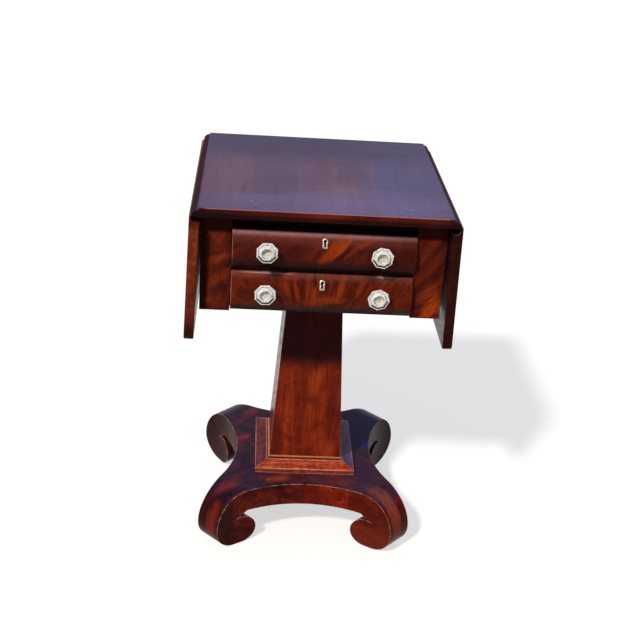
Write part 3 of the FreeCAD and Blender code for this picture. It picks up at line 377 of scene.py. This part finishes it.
dress_board("leaf_left", ALONG_Y_FACING_SIDE, ("34120c", "6c2a17", "a8542e"), 4.1, lines=(5.0, 120.0),
            rough=0.33, gloss=0.12,
            # Darker towards the bottom, and a painted shade under the top's round at the upper end
            shade=(("z", 0.62, 0.53, "3c160d", 0.3), ("z", 0.545, 0.488, "1a0a0c", 0.9),
                   ("z", 0.680, 0.705, "200b08", 0.5)),
            flat_axis="x", flat_side=-1, top_tones=LEAF_FACE_AND_SHEEN, relief=0.05, wear_tone="1c0a08", wear=0.85,
            arris=0.0016)
dress_board("leaf_right", ALONG_Y_FACING_SIDE, ("0e0506", "1e0a09", "3a140e"), 7.7, lines=(5.0, 120.0),
            rough=0.33, flat_axis="x", top_tones=LEAF_FACE_AND_SHEEN, relief=0.05, gloss=0.12)
dress(mahogany("side_wood", ALONG_Y_FACING_SIDE, ("160708", "341109", "561f13"), 2.2, lines=(5.0, 120.0),
               gloss=0.1, wear=0.3), "side_panel_left", "side_panel_right")
dress(mahogany("back_wood", ALONG_X_FACING_FRONT, ("1c0908", "401610", "682a18"), 2.7, lines=(4.0, 110.0),
               gloss=0.1, wear=0.2), "back_panel")
# The rails sit back behind the fronts; their near-black tones paint the shade that they lie in
dress(mahogany("rail_wood_painted_shade", ALONG_X_FACING_FRONT, ("0a0304", "160707", "280e0a"), 5.6, gloss=0.06, wear=0.3),
      "top_rail", "drawer_divider", "case_bottom")
dress_board("front_stile_left", ALONG_X_FACING_FRONT, ("200b0a", "4c1911", "7c3018"), 3.4,
            lines=(16.0, 110.0), gloss=0.07, mottle=0.9, stir_size=34.0, contrast=1.4, fan=(0.06, 0.10, 0.10),
            # Painted shadows: a dark band under the top's overhang, and a dark strip down the left edge where
            # the left leaf's shadow falls, which the last spot deepens
            shade=(("z", 0.675, 0.684, "0e0405", 0.8), ("x", -0.2060, -0.2085, "0c0405", 0.85)),
            spots=(("xz", (0.004, 0.034), (0.024, 0.012), 60, "6a290f", 0.5),
                   ("xz", (0.006, 0.008), (0.020, 0.009), 20, "7c3410", 0.7),
                   ("xz", (0.010, -0.026), (0.024, 0.010), 35, "7a2e10", 0.65),
                   ("xz", (-0.002, -0.072), (0.018, 0.008), 10, "6c2a10", 0.55),
                   ("xz", (0.006, -0.050), (0.022, 0.006), 15, "2c0d0a", 0.7),
                   ("xz", (-0.0225, 0.0), (0.13, 0.006), 90, "100506", 0.95)))
dress_board("front_stile_right", ALONG_X_FACING_FRONT, ("200b0b", "4e1811", "7c2e14"), 8.9,
            lines=(12.0, 120.0), gloss=0.07, mottle=0.7, contrast=1.8, fan=(-0.08, -0.10, 0.12),
            # A painted shadow under the top's overhang
            shade=(("z", 0.678, 0.688, "0e0405", 0.75),),
            spots=(("xz", (0.000, 0.006), (0.050, 0.012), 58, "6e280d", 0.65),
                   ("xz", (-0.006, 0.030), (0.024, 0.006), 55, "62240d", 0.5),
                   ("xz", (0.002, -0.040), (0.030, 0.010), 45, "86320b", 0.7),
                   ("xz", (0.010, -0.070), (0.030, 0.014), 60, "a8440c", 0.85),
                   ("xz", (-0.012, -0.024), (0.020, 0.006), 50, "200808", 0.6),
                   ("xz", (-0.018, -0.088), (0.014, 0.007), 30, "200a08", 0.85)))
dress_board("upper_drawer_front", ALONG_X_FACING_FRONT, ("1e0808", "421410", "6c2816"), 6.1,
            fan=(0.161, 0.19, 0.25), lines=(10.0, 200.0), contrast=1.15, mottle=0.5,
            spots=(("xz", (-0.100, 0.000), (0.062, 0.022), 0, "3a1412", 0.7),
                   ("xz", (0.130, -0.004), (0.040, 0.024), 0, "3a1210", 0.6),
                   ("xz", (0.016, 0.010), (0.034, 0.011), 52, "92360f", 0.85),
                   ("xz", (0.002, -0.006), (0.018, 0.009), 40, "86300e", 0.75),
                   ("xz", (0.034, 0.016), (0.026, 0.005), 50, "a03e12", 0.8),
                   ("xz", (0.052, 0.012), (0.026, 0.004), 48, "7a2c12", 0.7),
                   ("xz", (0.072, 0.024), (0.024, 0.005), 36, "86300f", 0.75),
                   ("xz", (0.028, -0.004), (0.020, 0.004), 50, "2a0c0a", 0.6),
                   ("xz", (-0.010, 0.018), (0.022, 0.005), 60, "6a2610", 0.6),
                   ("xz", (-0.030, 0.014), (0.024, 0.004), 58, "5c2010", 0.5), LEFT_LINE),
            spots_off=(1, 0, 0),
            wear=0.95, wear_tone="c89c88", gloss=0.12,
            # Painted shade on the cushion's under-curve and on the front's top edge, a painted sheen of sky
            # reflection on its upper part, and a darker right end
            shade=(("z", UPPER_MIDDLE - 0.010, UPPER_MIDDLE - 0.027, "0b0305", 0.95),
                   ("z", UPPER_MIDDLE + 0.010, UPPER_MIDDLE + 0.028, "6c3830", 0.45),
                   ("z", UPPER_MIDDLE + 0.026, UPPER_MIDDLE + 0.037, "a87c80", 0.7),
                   ("z", UPPER_MIDDLE + 0.0364, UPPER_MIDDLE + 0.0371, "0e0405", 0.9),
                   ("x", 0.06, 0.16, "240808", 0.45)))
dress_board("lower_drawer_front", ALONG_X_FACING_FRONT, ("1a0708", "46150c", "7a2c10"), 9.4,
            fan=(0.0, -0.15, 0.20), lines=(9.0, 170.0), contrast=1.8, spots_off=(1, 0, 0),
            spots=(("xz", (-0.064, 0.016), (0.024, 0.005), 108, "7a2e0f", 0.6),
                   ("xz", (-0.052, 0.006), (0.022, 0.004), 104, "200909", 0.7),
                   ("xz", (-0.047, 0.014), (0.030, 0.003), 99, "86320f", 0.6),
                   ("xz", (-0.026, 0.010), (0.026, 0.003), 88, "8a340f", 0.65),
                   ("xz", (-0.128, 0.004), (0.026, 0.016), 20, "34100e", 0.6),
                   ("xz", (-0.036, 0.006), (0.028, 0.003), 93, "220a09", 0.7),
                   ("xz", (-0.014, -0.004), (0.020, 0.007), 80, "84320f", 0.7),
                   # Two painted shadows of the upper knobs along the front's upper edge
                   ("xz", (-0.086, 0.033), (0.014, 0.006), 0, "140608", 0.8),
                   ("xz", (0.088, 0.033), (0.014, 0.006), 0, "140608", 0.8),
                   ("xz", (-0.013, 0.026), (0.012, 0.004), 95, "1c0708", 0.8),
                   ("xz", (-0.100, 0.0364), (0.050, 0.0013), 0, "b08a80", 0.8),
                   ("xz", (0.118, 0.0364), (0.022, 0.0015), 0, "b08a80", 0.85), LEFT_LINE,
                   ("xz", (0.034, 0.016), (0.032, 0.008), 78, "963a0e", 0.8),
                   ("xz", (0.006, -0.008), (0.042, 0.010), 8, "86300e", 0.8),
                   ("xz", (0.070, 0.018), (0.020, 0.005), 60, "7a2c0e", 0.7)),
            wear=0.95, wear_tone="c89c88", gloss=0.12,
            # Painted shade on the cushion's under-curve, a painted sheen of sky reflection on its upper part,
            # and a darker right end
            shade=(("z", LOWER_MIDDLE - 0.018, LOWER_MIDDLE - 0.030, "0b0305", 0.92),
                   ("z", LOWER_MIDDLE + 0.024, LOWER_MIDDLE + 0.037, "74443c", 0.5),
                   ("x", 0.08, 0.15, "240806", 0.4)))

# The pillar and its base

# The dark band on the upper part of every pillar board is a painted shadow of the case above it
for board, turn, seed in (("front", UPRIGHT_FACING_FRONT, 2.9), ("back", UPRIGHT_FACING_FRONT, 6.3),
                          ("left", UPRIGHT_FACING_SIDE, 4.7), ("right", UPRIGHT_FACING_SIDE, 1.1)):
    dress_board(f"pillar_board_{board}", turn, ("2a0b0c", "641e10", "9a3816"), seed, lines=(3.2, 70.0),
                band=0.85, contrast=1.7, gloss=0.1, mottle=0.6, shade=(("z", 0.335, 0.372, "170d16", 0.87),),
                spots=() if board != "front" else (
                    ("xz", (0.010, -0.028), (0.030, 0.014), 80, "9a3c18", 0.7),
                    ("xz", (0.004, -0.118), (0.055, 0.016), 86, "8c3012", 0.6),
                    ("xz", (0.048, -0.082), (0.060, 0.012), 88, "3c1010", 0.7),
                    ("xz", (-0.056, -0.160), (0.060, 0.012), 90, "3c1010", 0.7),
                    ("xz", (0.050, -0.180), (0.030, 0.012), 80, "a03c18", 0.6)))
# A paler tread on the block's step, and a painted shade in the dark band just under it, above the moulding
dress(mahogany("plinth_wood", ALONG_X_FACING_FRONT, ("4a140e", "8a361a", "c06c3c"), 3.1, gloss=0.1,
               wear=0.95, wear_tone="f0c0a0",
               shade=(("z", 0.1438, 0.1450, "c08460", 0.6), ("z", 0.1436, 0.1416, "160705", 0.92))),
      "plinth_block")
dress(mahogany("block_wood", ALONG_X_FACING_FRONT, ("1a0708", "40130c", "70290f"), 3.1), "pillar_top_block")
# The tones differ by side, lightest at the front, and the right side's blue-violet is a painted sky
# reflection; the spots are pale rubbed arrises, and the shades darken the upright face and lay a pale dust
# line at its foot
for board, axes, turn, tones, seed in (
        ("front", "xz", ALONG_X_FACING_FRONT, ("4e1614", "963c26", "cc7250"), 5.2),
        ("back", "xz", ALONG_X_FACING_FRONT, ("2a0d0c", "54201a", "7c3a2c"), 8.1),
        ("left", "yz", ALONG_Y_FACING_UP, ("280c12", "501a22", "783236"), 2.6),
        ("right", "yz", ALONG_Y_FACING_UP, ("241c38", "46385e", "684c6c"), 6.8)):
    dress_board(f"plinth_moulding_{board}", turn, tones, seed, lines=(12.0, 300.0), wear=0.95,
                wear_tone="e0a080", contrast=1.7, mottle=0.8, stir_size=80.0, gloss=0.05,
                shade=(("z", 0.1302, 0.1292, "3c120e", 0.45), ("z", 0.1226, 0.1216, "b89890", 0.5)),
                spots=((axes, (0, 0.0003), (0.15, 0.0005), 0, "d8aa9c", 0.7),
                       (axes, (0, 0.0093), (0.15, 0.0004), 0, "d8aa9c", 0.5)))
EIGHTH = QUARTER / 2
# Corner, turn, seed and tones of each foot, its spots, and its shades, darker and lighter bands of tone; the
# back right foot's large blue spot is a painted sky reflection
FEET = (("front_left", -3 * EIGHTH, 1.9, ("1a0809", "481510", "742a18"),
         (("xy", (-0.040, -0.118), (0.060, 0.024), 5, "5a2418", 0.85),
          ("xy", (-0.056, -0.124), (0.026, 0.010), 10, "96401f", 0.9),
          ("xy", (-0.034, -0.103), (0.022, 0.006), 20, "84361c", 0.8),
          ("xy", (-0.122, -0.060), (0.034, 0.012), 80, "14101c", 0.8),
          ("xy", (-0.140, -0.125), (0.030, 0.010), 60, "5c1c28", 0.7),
          ("xy", (-0.155, -0.150), (0.030, 0.014), 30, "7c2a1e", 0.75),
          ("xy", (-0.165, -0.176), (0.035, 0.018), 20, "0e080c", 0.9),
          ("xy", (-0.185, -0.196), (0.022, 0.014), 60, "7a261a", 0.8)), (("x", -0.13, -0.15, "1c0a0a", 0.6),)),
        ("front_right", -EIGHTH, 3.3, ("2c0b08", "641a0e", "8c3014"),
         (("xy", (0.158, -0.168), (0.042, 0.018), -40, "864536", 0.8),
          ("xy", (0.185, -0.195), (0.026, 0.016), -50, "8a3c2c", 0.7),
          ("xy", (0.045, -0.120), (0.060, 0.020), 0, "5a2820", 0.85),
          ("xy", (0.120, -0.106), (0.030, 0.016), -40, "2c1838", 0.8)),
         (("x", 0.0875, 0.0885, "300c0a", 0.55), ("z", 0.062, 0.036, "8a3820", 0.25))),
        ("back_left", 3 * EIGHTH, 5.9, ("160809", "30120f", "4c2018"),
         (("xy", (-0.130, 0.033), (0.022, 0.010), 30, "84283c", 0.75),
          ("xy", (-0.139, 0.096), (0.026, 0.010), 50, "5c1c34", 0.7),
          ("xy", (-0.113, 0.145), (0.030, 0.014), 60, "702438", 0.7),
          ("xy", (-0.120, 0.000), (0.030, 0.010), 80, "1a1020", 0.7)), ()),
        ("back_right", EIGHTH, 7.1, ("160809", "30120f", "482019"),
         (("xy", (0.120, 0.070), (0.160, 0.110), 45, "0e1b54", 0.9),),
         (("z", 0.110, 0.070, "1e0e0e", 0.6),)))
# The violet top tones paint the sky's reflection on the feet's upper faces
for corner, turn, seed, tones, spots, blocks in FEET:
    dress(mahogany(f"base_foot_{corner}_wood", (0, 0, turn), tones, seed, lines=(6.0, 90.0), mottle=0.9,
                   contrast=1.4, top_tones=("150e1c", "2e1930", "561e2e"), high_from=0.066, spots=spots,
                   spots_above=corner == "back_right",
                   spots_off=(-math.sin(turn), math.cos(turn), 0), gloss=0.04, tint="b080a0", stir_size=30.0,
                   wear=1.0, wear_tone="d8b8a8", arris=0.0016, scuffs=0.5, joint_axes="xy", shade=blocks),
          f"base_foot_{corner}")

# Hidden woods and metals

dress(plain_wood("pine", ALONG_Y_FACING_UP, ("7a5634", "a07a50", "c09a6c"), 1.0),
      *[f"{drawer}_{piece}" for drawer in ("upper", "lower")
        for piece in ("drawer_side_left", "drawer_side_right", "drawer_bottom")],
      "drawer_runners", "top_kickers", "drawer_guides", "fly_bracket_left", "fly_bracket_right")
dress(plain_wood("pine_across", ALONG_X_FACING_FRONT, ("74502f", "99734a", "b89264"), 3.0),
      "upper_drawer_back", "lower_drawer_back")
dress(metal("hinge_iron", ("231d1a", "3c332e", "6b605a"), 0.42, 1.0),
      "leaf_left_hinge_plates", "leaf_right_hinge_plates", "hinge_fixed_plates", "hinge_pins",
      "fly_bracket_pins", "leaf_left_hinge_screws", "leaf_right_hinge_screws", "hinge_fixed_screws",
      "top_screws", "pillar_screws", "upper_lock_bolt", "lower_lock_bolt")
dress(metal("lock_brass", ("4a3413", "8a6a2c", "c8a55a"), 0.35, 2.0),
      "upper_lock_case", "lower_lock_case", "upper_knob_fittings", "lower_knob_fittings")
plate_brass = metal("escutcheon_brass", ("6c625c", "b0a29a", "dccec4"), 0.42, 3.0)
dress(plate_brass, "upper_escutcheon", "lower_escutcheon")
knob_glass = pressed_glass("knob_glass", ("ffffff", "bcbdba"), 0.2)
# Dark glass on the lower arc of the flute: painted, for the dark wood that the clear glass shows there
flute_glass_painted_dark = pressed_glass("flute_glass_painted_dark", ("241a18", "120c0c"), 0.0)
dish_glass = pressed_glass("dish_glass", ("f0eee2", "8f8e86"), 0.2)
dress(knob_glass, "upper_drawer_knobs", "lower_drawer_knobs")


# Pressed glass knobs, in place of the plain ones

KNOB_SIDES = 8
RING_STEPS = 64


def ring_radius(angle, radius, corners):
    """Radius at an angle on a circle that is drawn out into an octagon by a share of zero to one."""
    half = math.pi / KNOB_SIDES
    folded = (angle + half) % (2 * half) - half
    return radius * (1 + corners * (1 / math.cos(folded) - 1))


def turned_rings(mesh, rings, spans):
    """Skin a stack of rings, each a radius, height and share of octagon, into a closed solid.

    The spans give, for a ring's number, the slot of the faces above it and the angles they keep to.
    """
    loops = []
    for radius, height, corners in rings:
        if radius == 0:
            loops.append([mesh.verts.new((0, 0, height))])
            continue
        loop = []
        for step in range(RING_STEPS):
            angle = 2 * math.pi * step / RING_STEPS
            r = ring_radius(angle, radius, corners)
            loop.append(mesh.verts.new((r * math.sin(angle), r * math.cos(angle), height)))
        loops.append(loop)
    for number, (low, high) in enumerate(zip(loops, loops[1:])):
        slot, first_deg, last_deg = spans.get(number, (CLEAR, 0, 360))
        for step in range(RING_STEPS):
            nxt = (step + 1) % RING_STEPS
            upper = (high[0],) if len(high) == 1 else (high[nxt], high[step])
            face = mesh.faces.new((low[step], low[nxt], *upper))
            face.material_index = slot if first_deg <= 360 * (step + 0.5) / RING_STEPS < last_deg else CLEAR
    mesh.faces.new(list(reversed(loops[0])))
    mesh.normal_update()


def mesh_object(name, mesh, materials, sharp_deg=24):
    """A new object from a built mesh, smooth but for its real edges."""
    data = bpy.data.meshes.new(name)
    bmesh.ops.recalc_face_normals(mesh, faces=mesh.faces)
    mesh.to_mesh(data)
    mesh.free()
    data.shade_smooth()
    data.set_sharp_from_angle(angle=math.radians(sharp_deg))
    for material in materials:
        data.materials.append(material)
    made = bpy.data.objects.new(name, data)
    bpy.context.scene.collection.objects.link(made)
    return made


# Radius, height and share of octagon, from the collar to the face, in metres
KNOB_RINGS = ((0.0088, 0.0, 0), (0.0090, 0.0004, 0), (0.0082, 0.0024, 0), (0.0080, 0.0046, 0.1),
              (0.0090, 0.0070, 0.3), (0.0120, 0.0094, 0.7), (0.0166, 0.0122, 1), (0.0180, 0.0133, 1),
              (0.0185, 0.0140, 1), (0.0185, 0.0160, 1), (0.0180, 0.0167, 1), (0.0163, 0.0169, 1),
              (0.0160, 0.0151, 1), (0.0142, 0.0149, 1), (0.0138, 0.0166, 1), (0.0128, 0.0192, 0.9),
              (0.0112, 0.0208, 0.7), (0.0104, 0.0212, 0.5), (0.0098, 0.0209, 0.4), (0.0090, 0.0188, 0.2),
              (0.0076, 0.0166, 0), (0.0048, 0.0150, 0), (0, 0.0144, 0))
# Slots of a knob's materials: its clear glass, the lower arc of the flute painted dark for the dark wood that
# the clear glass shows there, and the dish
CLEAR, FLUTE, DISH = 0, 1, 2
# For a ring's number, the slot of the faces above it and the angles from the top that they keep to
KNOB_SPANS = {11: (FLUTE, 110, 250), 12: (FLUTE, 110, 250), **{ring: (DISH, 0, 360) for ring in range(18, 22)}}


def make_knobs(prefix, turns_deg):
    """Both knobs of a drawer, each turned a little as it was screwed home."""
    low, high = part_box(f"{prefix}_drawer_knobs")
    out = (high.x - low.x - high.z + low.z) / 2
    mesh = bmesh.new()
    for at, turn_deg in zip((-out, out), turns_deg):
        one = bmesh.new()
        turned_rings(one, KNOB_RINGS, KNOB_SPANS)
        place = (Matrix.Translation((at, high.y, (low.z + high.z) / 2)) @ Matrix.Rotation(QUARTER, 4, "X")
                 @ Matrix.Rotation(math.radians(turn_deg), 4, "Z"))
        one.transform(place)
        piece = bpy.data.meshes.new("piece")
        one.to_mesh(piece)
        one.free()
        mesh.from_mesh(piece)
        bpy.data.meshes.remove(piece)
    knobs = mesh_object(f"{prefix}_glass_knobs", mesh, (knob_glass, flute_glass_painted_dark, dish_glass))
    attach(knobs, f"{prefix}_drawer")
    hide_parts(f"{prefix}_drawer_knobs")


make_knobs("upper", (0, -8))
make_knobs("lower", (3, 17))


# Pale brass escutcheons: a waisted plate on the cushion, with the keyhole through it

# How far a drawer front's middle stands out beyond its upper and lower edges
CUSHION_RISE = 0.014
# From the plate's top down to the middle of the keyhole's head
HEAD_DOWN = 0.0045
# From there down to the waist, above and below which the outlines are drawn in from opposite sides
WAIST_DOWN = 0.004
# Height from the middle of the keyhole's head, and half width, down the plate and down its opening
PLATE = ((0.00480, 0.0), (0.00464, 0.00123), (0.00416, 0.00240), (0.00339, 0.00339),
         (0.00240, 0.00416), (0.00100, 0.00469), (-0.00080, 0.00468), (-0.00260, 0.00425),
         (-0.00450, 0.00405), (-0.00640, 0.00430), (-0.00850, 0.00475), (-0.01040, 0.00480),
         (-0.01160, 0.00435), (-0.01230, 0.00350), (-0.01255, 0.00200), (-0.01260, 0.0))
OPENING = ((0.00295, 0.0), (0.00283, 0.00081), (0.00255, 0.00148), (0.00208, 0.00208),
           (0.00148, 0.00255), (0.00060, 0.00289), (-0.00070, 0.00286), (-0.00170, 0.00240),
           (-0.00280, 0.00185), (-0.00450, 0.00170), (-0.00650, 0.00180), (-0.00820, 0.00200),
           (-0.00940, 0.00200), (-0.00985, 0.00170), (-0.01000, 0.00085), (-0.01000, 0.0))
# Loops from the plate's rim under the wood to the bottom of the keyhole: outline, how far it is drawn in,
# and how far it stands out from the cushion
PLATE_LOOPS = ((PLATE, 0, -0.0010), (PLATE, 0, 0.0002), (PLATE, 0.0005, 0.0006),
               (OPENING, -0.0003, 0.0006), (OPENING, 0, 0.0003), (OPENING, 0, -0.0050))


def make_escutcheon(prefix):
    """The keyhole plate of a drawer, bent to its cushion front."""
    low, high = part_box(f"{prefix}_drawer_front")
    middle, half = (low.z + high.z) / 2, (high.z - low.z) / 2
    radius = (half * half + CUSHION_RISE * CUSHION_RISE) / (2 * CUSHION_RISE)
    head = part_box(f"{prefix}_escutcheon")[1].z - HEAD_DOWN

    def outline(points, shrink, proud):
        """The closed loop of a half outline, on the cushion and stood out from it."""
        side = [(max(half_width - shrink, 0), height - math.copysign(shrink, height + WAIST_DOWN))
                for height, half_width in points]
        loop = side + [(-x, z) for x, z in reversed(side[1:-1])]
        places = []
        for x, z in loop:
            above = head + z - middle
            places.append((x, low.y + radius - math.sqrt(radius * radius - above * above) - proud, head + z))
        return places

    mesh = bmesh.new()
    loops = [[mesh.verts.new(place) for place in outline(*loop)] for loop in PLATE_LOOPS]
    for outer, inner in zip(loops, loops[1:]):
        for step in range(len(outer)):
            nxt = (step + 1) % len(outer)
            mesh.faces.new((outer[step], outer[nxt], inner[nxt], inner[step]))
    plate = mesh_object(f"{prefix}_keyhole_plate", mesh, (plate_brass,), 40)
    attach(plate, f"{prefix}_drawer")
    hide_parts(f"{prefix}_escutcheon")


make_escutcheon("upper")
make_escutcheon("lower")


# Floor, light and camera

SEEN_FLOOR = (0.4, 0.4, 0.4, 1)
LIT_FLOOR = (0.38, 0.38, 0.38, 1)
FLOOR_GLOW = (0.62, 0.62, 0.62, 1)
SEEN_SKY = (1, 1, 1, 1)
SKY_LIGHT = (0.36, 0.36, 0.40, 1)

def light_for(g, seen, other):
    """One colour for what the camera, glass and gloss see, and another for the light on plain surfaces."""
    path = g.node("ShaderNodeLightPath").outputs
    sharp = g.math("MAXIMUM", path["Is Camera Ray"], path["Is Transmission Ray"])
    return g.mix(g.math("MAXIMUM", sharp, path["Is Glossy Ray"]), other, seen)


def make_stage():
    """A wide pale floor that keeps a soft shadow, under a pale sky."""
    mesh = bpy.data.meshes.new("floor")
    half = 30.0
    corners = [(-half, -half, 0), (half, -half, 0), (half, half, 0), (-half, half, 0)]
    mesh.from_pydata(corners, [], [(0, 1, 2, 3)])
    floor = bpy.data.objects.new("floor", mesh)
    bpy.context.scene.collection.objects.link(floor)
    g = Graph("floor_white")
    tone = light_for(g, SEEN_FLOOR, LIT_FLOOR)
    glow = light_for(g, FLOOR_GLOW, (0, 0, 0, 1))
    plain = g.node("ShaderNodeBsdfDiffuse", {"Color": tone})
    lit = g.node("ShaderNodeEmission", {"Color": glow})
    both = g.node("ShaderNodeAddShader")
    g.put(both.inputs[0], plain.outputs[0])
    g.put(both.inputs[1], lit.outputs[0])
    g.node("ShaderNodeOutputMaterial", {"Surface": both.outputs[0]})
    mesh.materials.append(g.material)
    world = bpy.data.worlds.new("studio")
    world.use_nodes = True
    g = Graph("studio", world.node_tree)
    tone = light_for(g, SEEN_SKY, SKY_LIGHT)
    back = g.node("ShaderNodeBackground", {"Color": tone})
    g.node("ShaderNodeOutputWorld", {"Surface": back.outputs[0]})
    bpy.context.scene.world = world


def make_sun(name, towards, strength, spread_deg, colour):
    """A lamp that shines from the side that the vector points towards."""
    data = bpy.data.lights.new(name, "SUN")
    data.energy = strength
    data.angle = math.radians(spread_deg)
    data.color = rgb(colour)[:3]
    lamp = bpy.data.objects.new(name, data)
    bpy.context.scene.collection.objects.link(lamp)
    lamp.rotation_euler = (-Vector(towards)).to_track_quat("-Z", "Y").to_euler()


def make_camera():
    """The photograph's own view: place, turn and lens were solved from its straight edges."""
    at = (-0.1369, -2.0518, 1.3987)
    yaw, pitch, roll = 0.0745, -0.443, 0.073
    focal_share = 1129.2 / 640
    data = bpy.data.cameras.new("camera")
    data.sensor_width = 36.0
    data.lens = focal_share * data.sensor_width
    camera = bpy.data.objects.new("camera", data)
    bpy.context.scene.collection.objects.link(camera)
    forward = Vector((math.sin(yaw) * math.cos(pitch), math.cos(yaw) * math.cos(pitch), math.sin(pitch)))
    right = Vector((math.cos(yaw), -math.sin(yaw), 0))
    up = right.cross(forward)
    right, up = right * math.cos(roll) + up * math.sin(roll), up * math.cos(roll) - right * math.sin(roll)
    camera.matrix_world = Matrix.Translation(at) @ Matrix((right, up, -forward)).transposed().to_4x4()
    bpy.context.scene.camera = camera


make_stage()
make_sun("key", (-0.405, -0.583, 0.705), 3.5, 5.0, "fff6ea")
make_camera()
bpy.context.scene.view_settings.view_transform = "Standard"
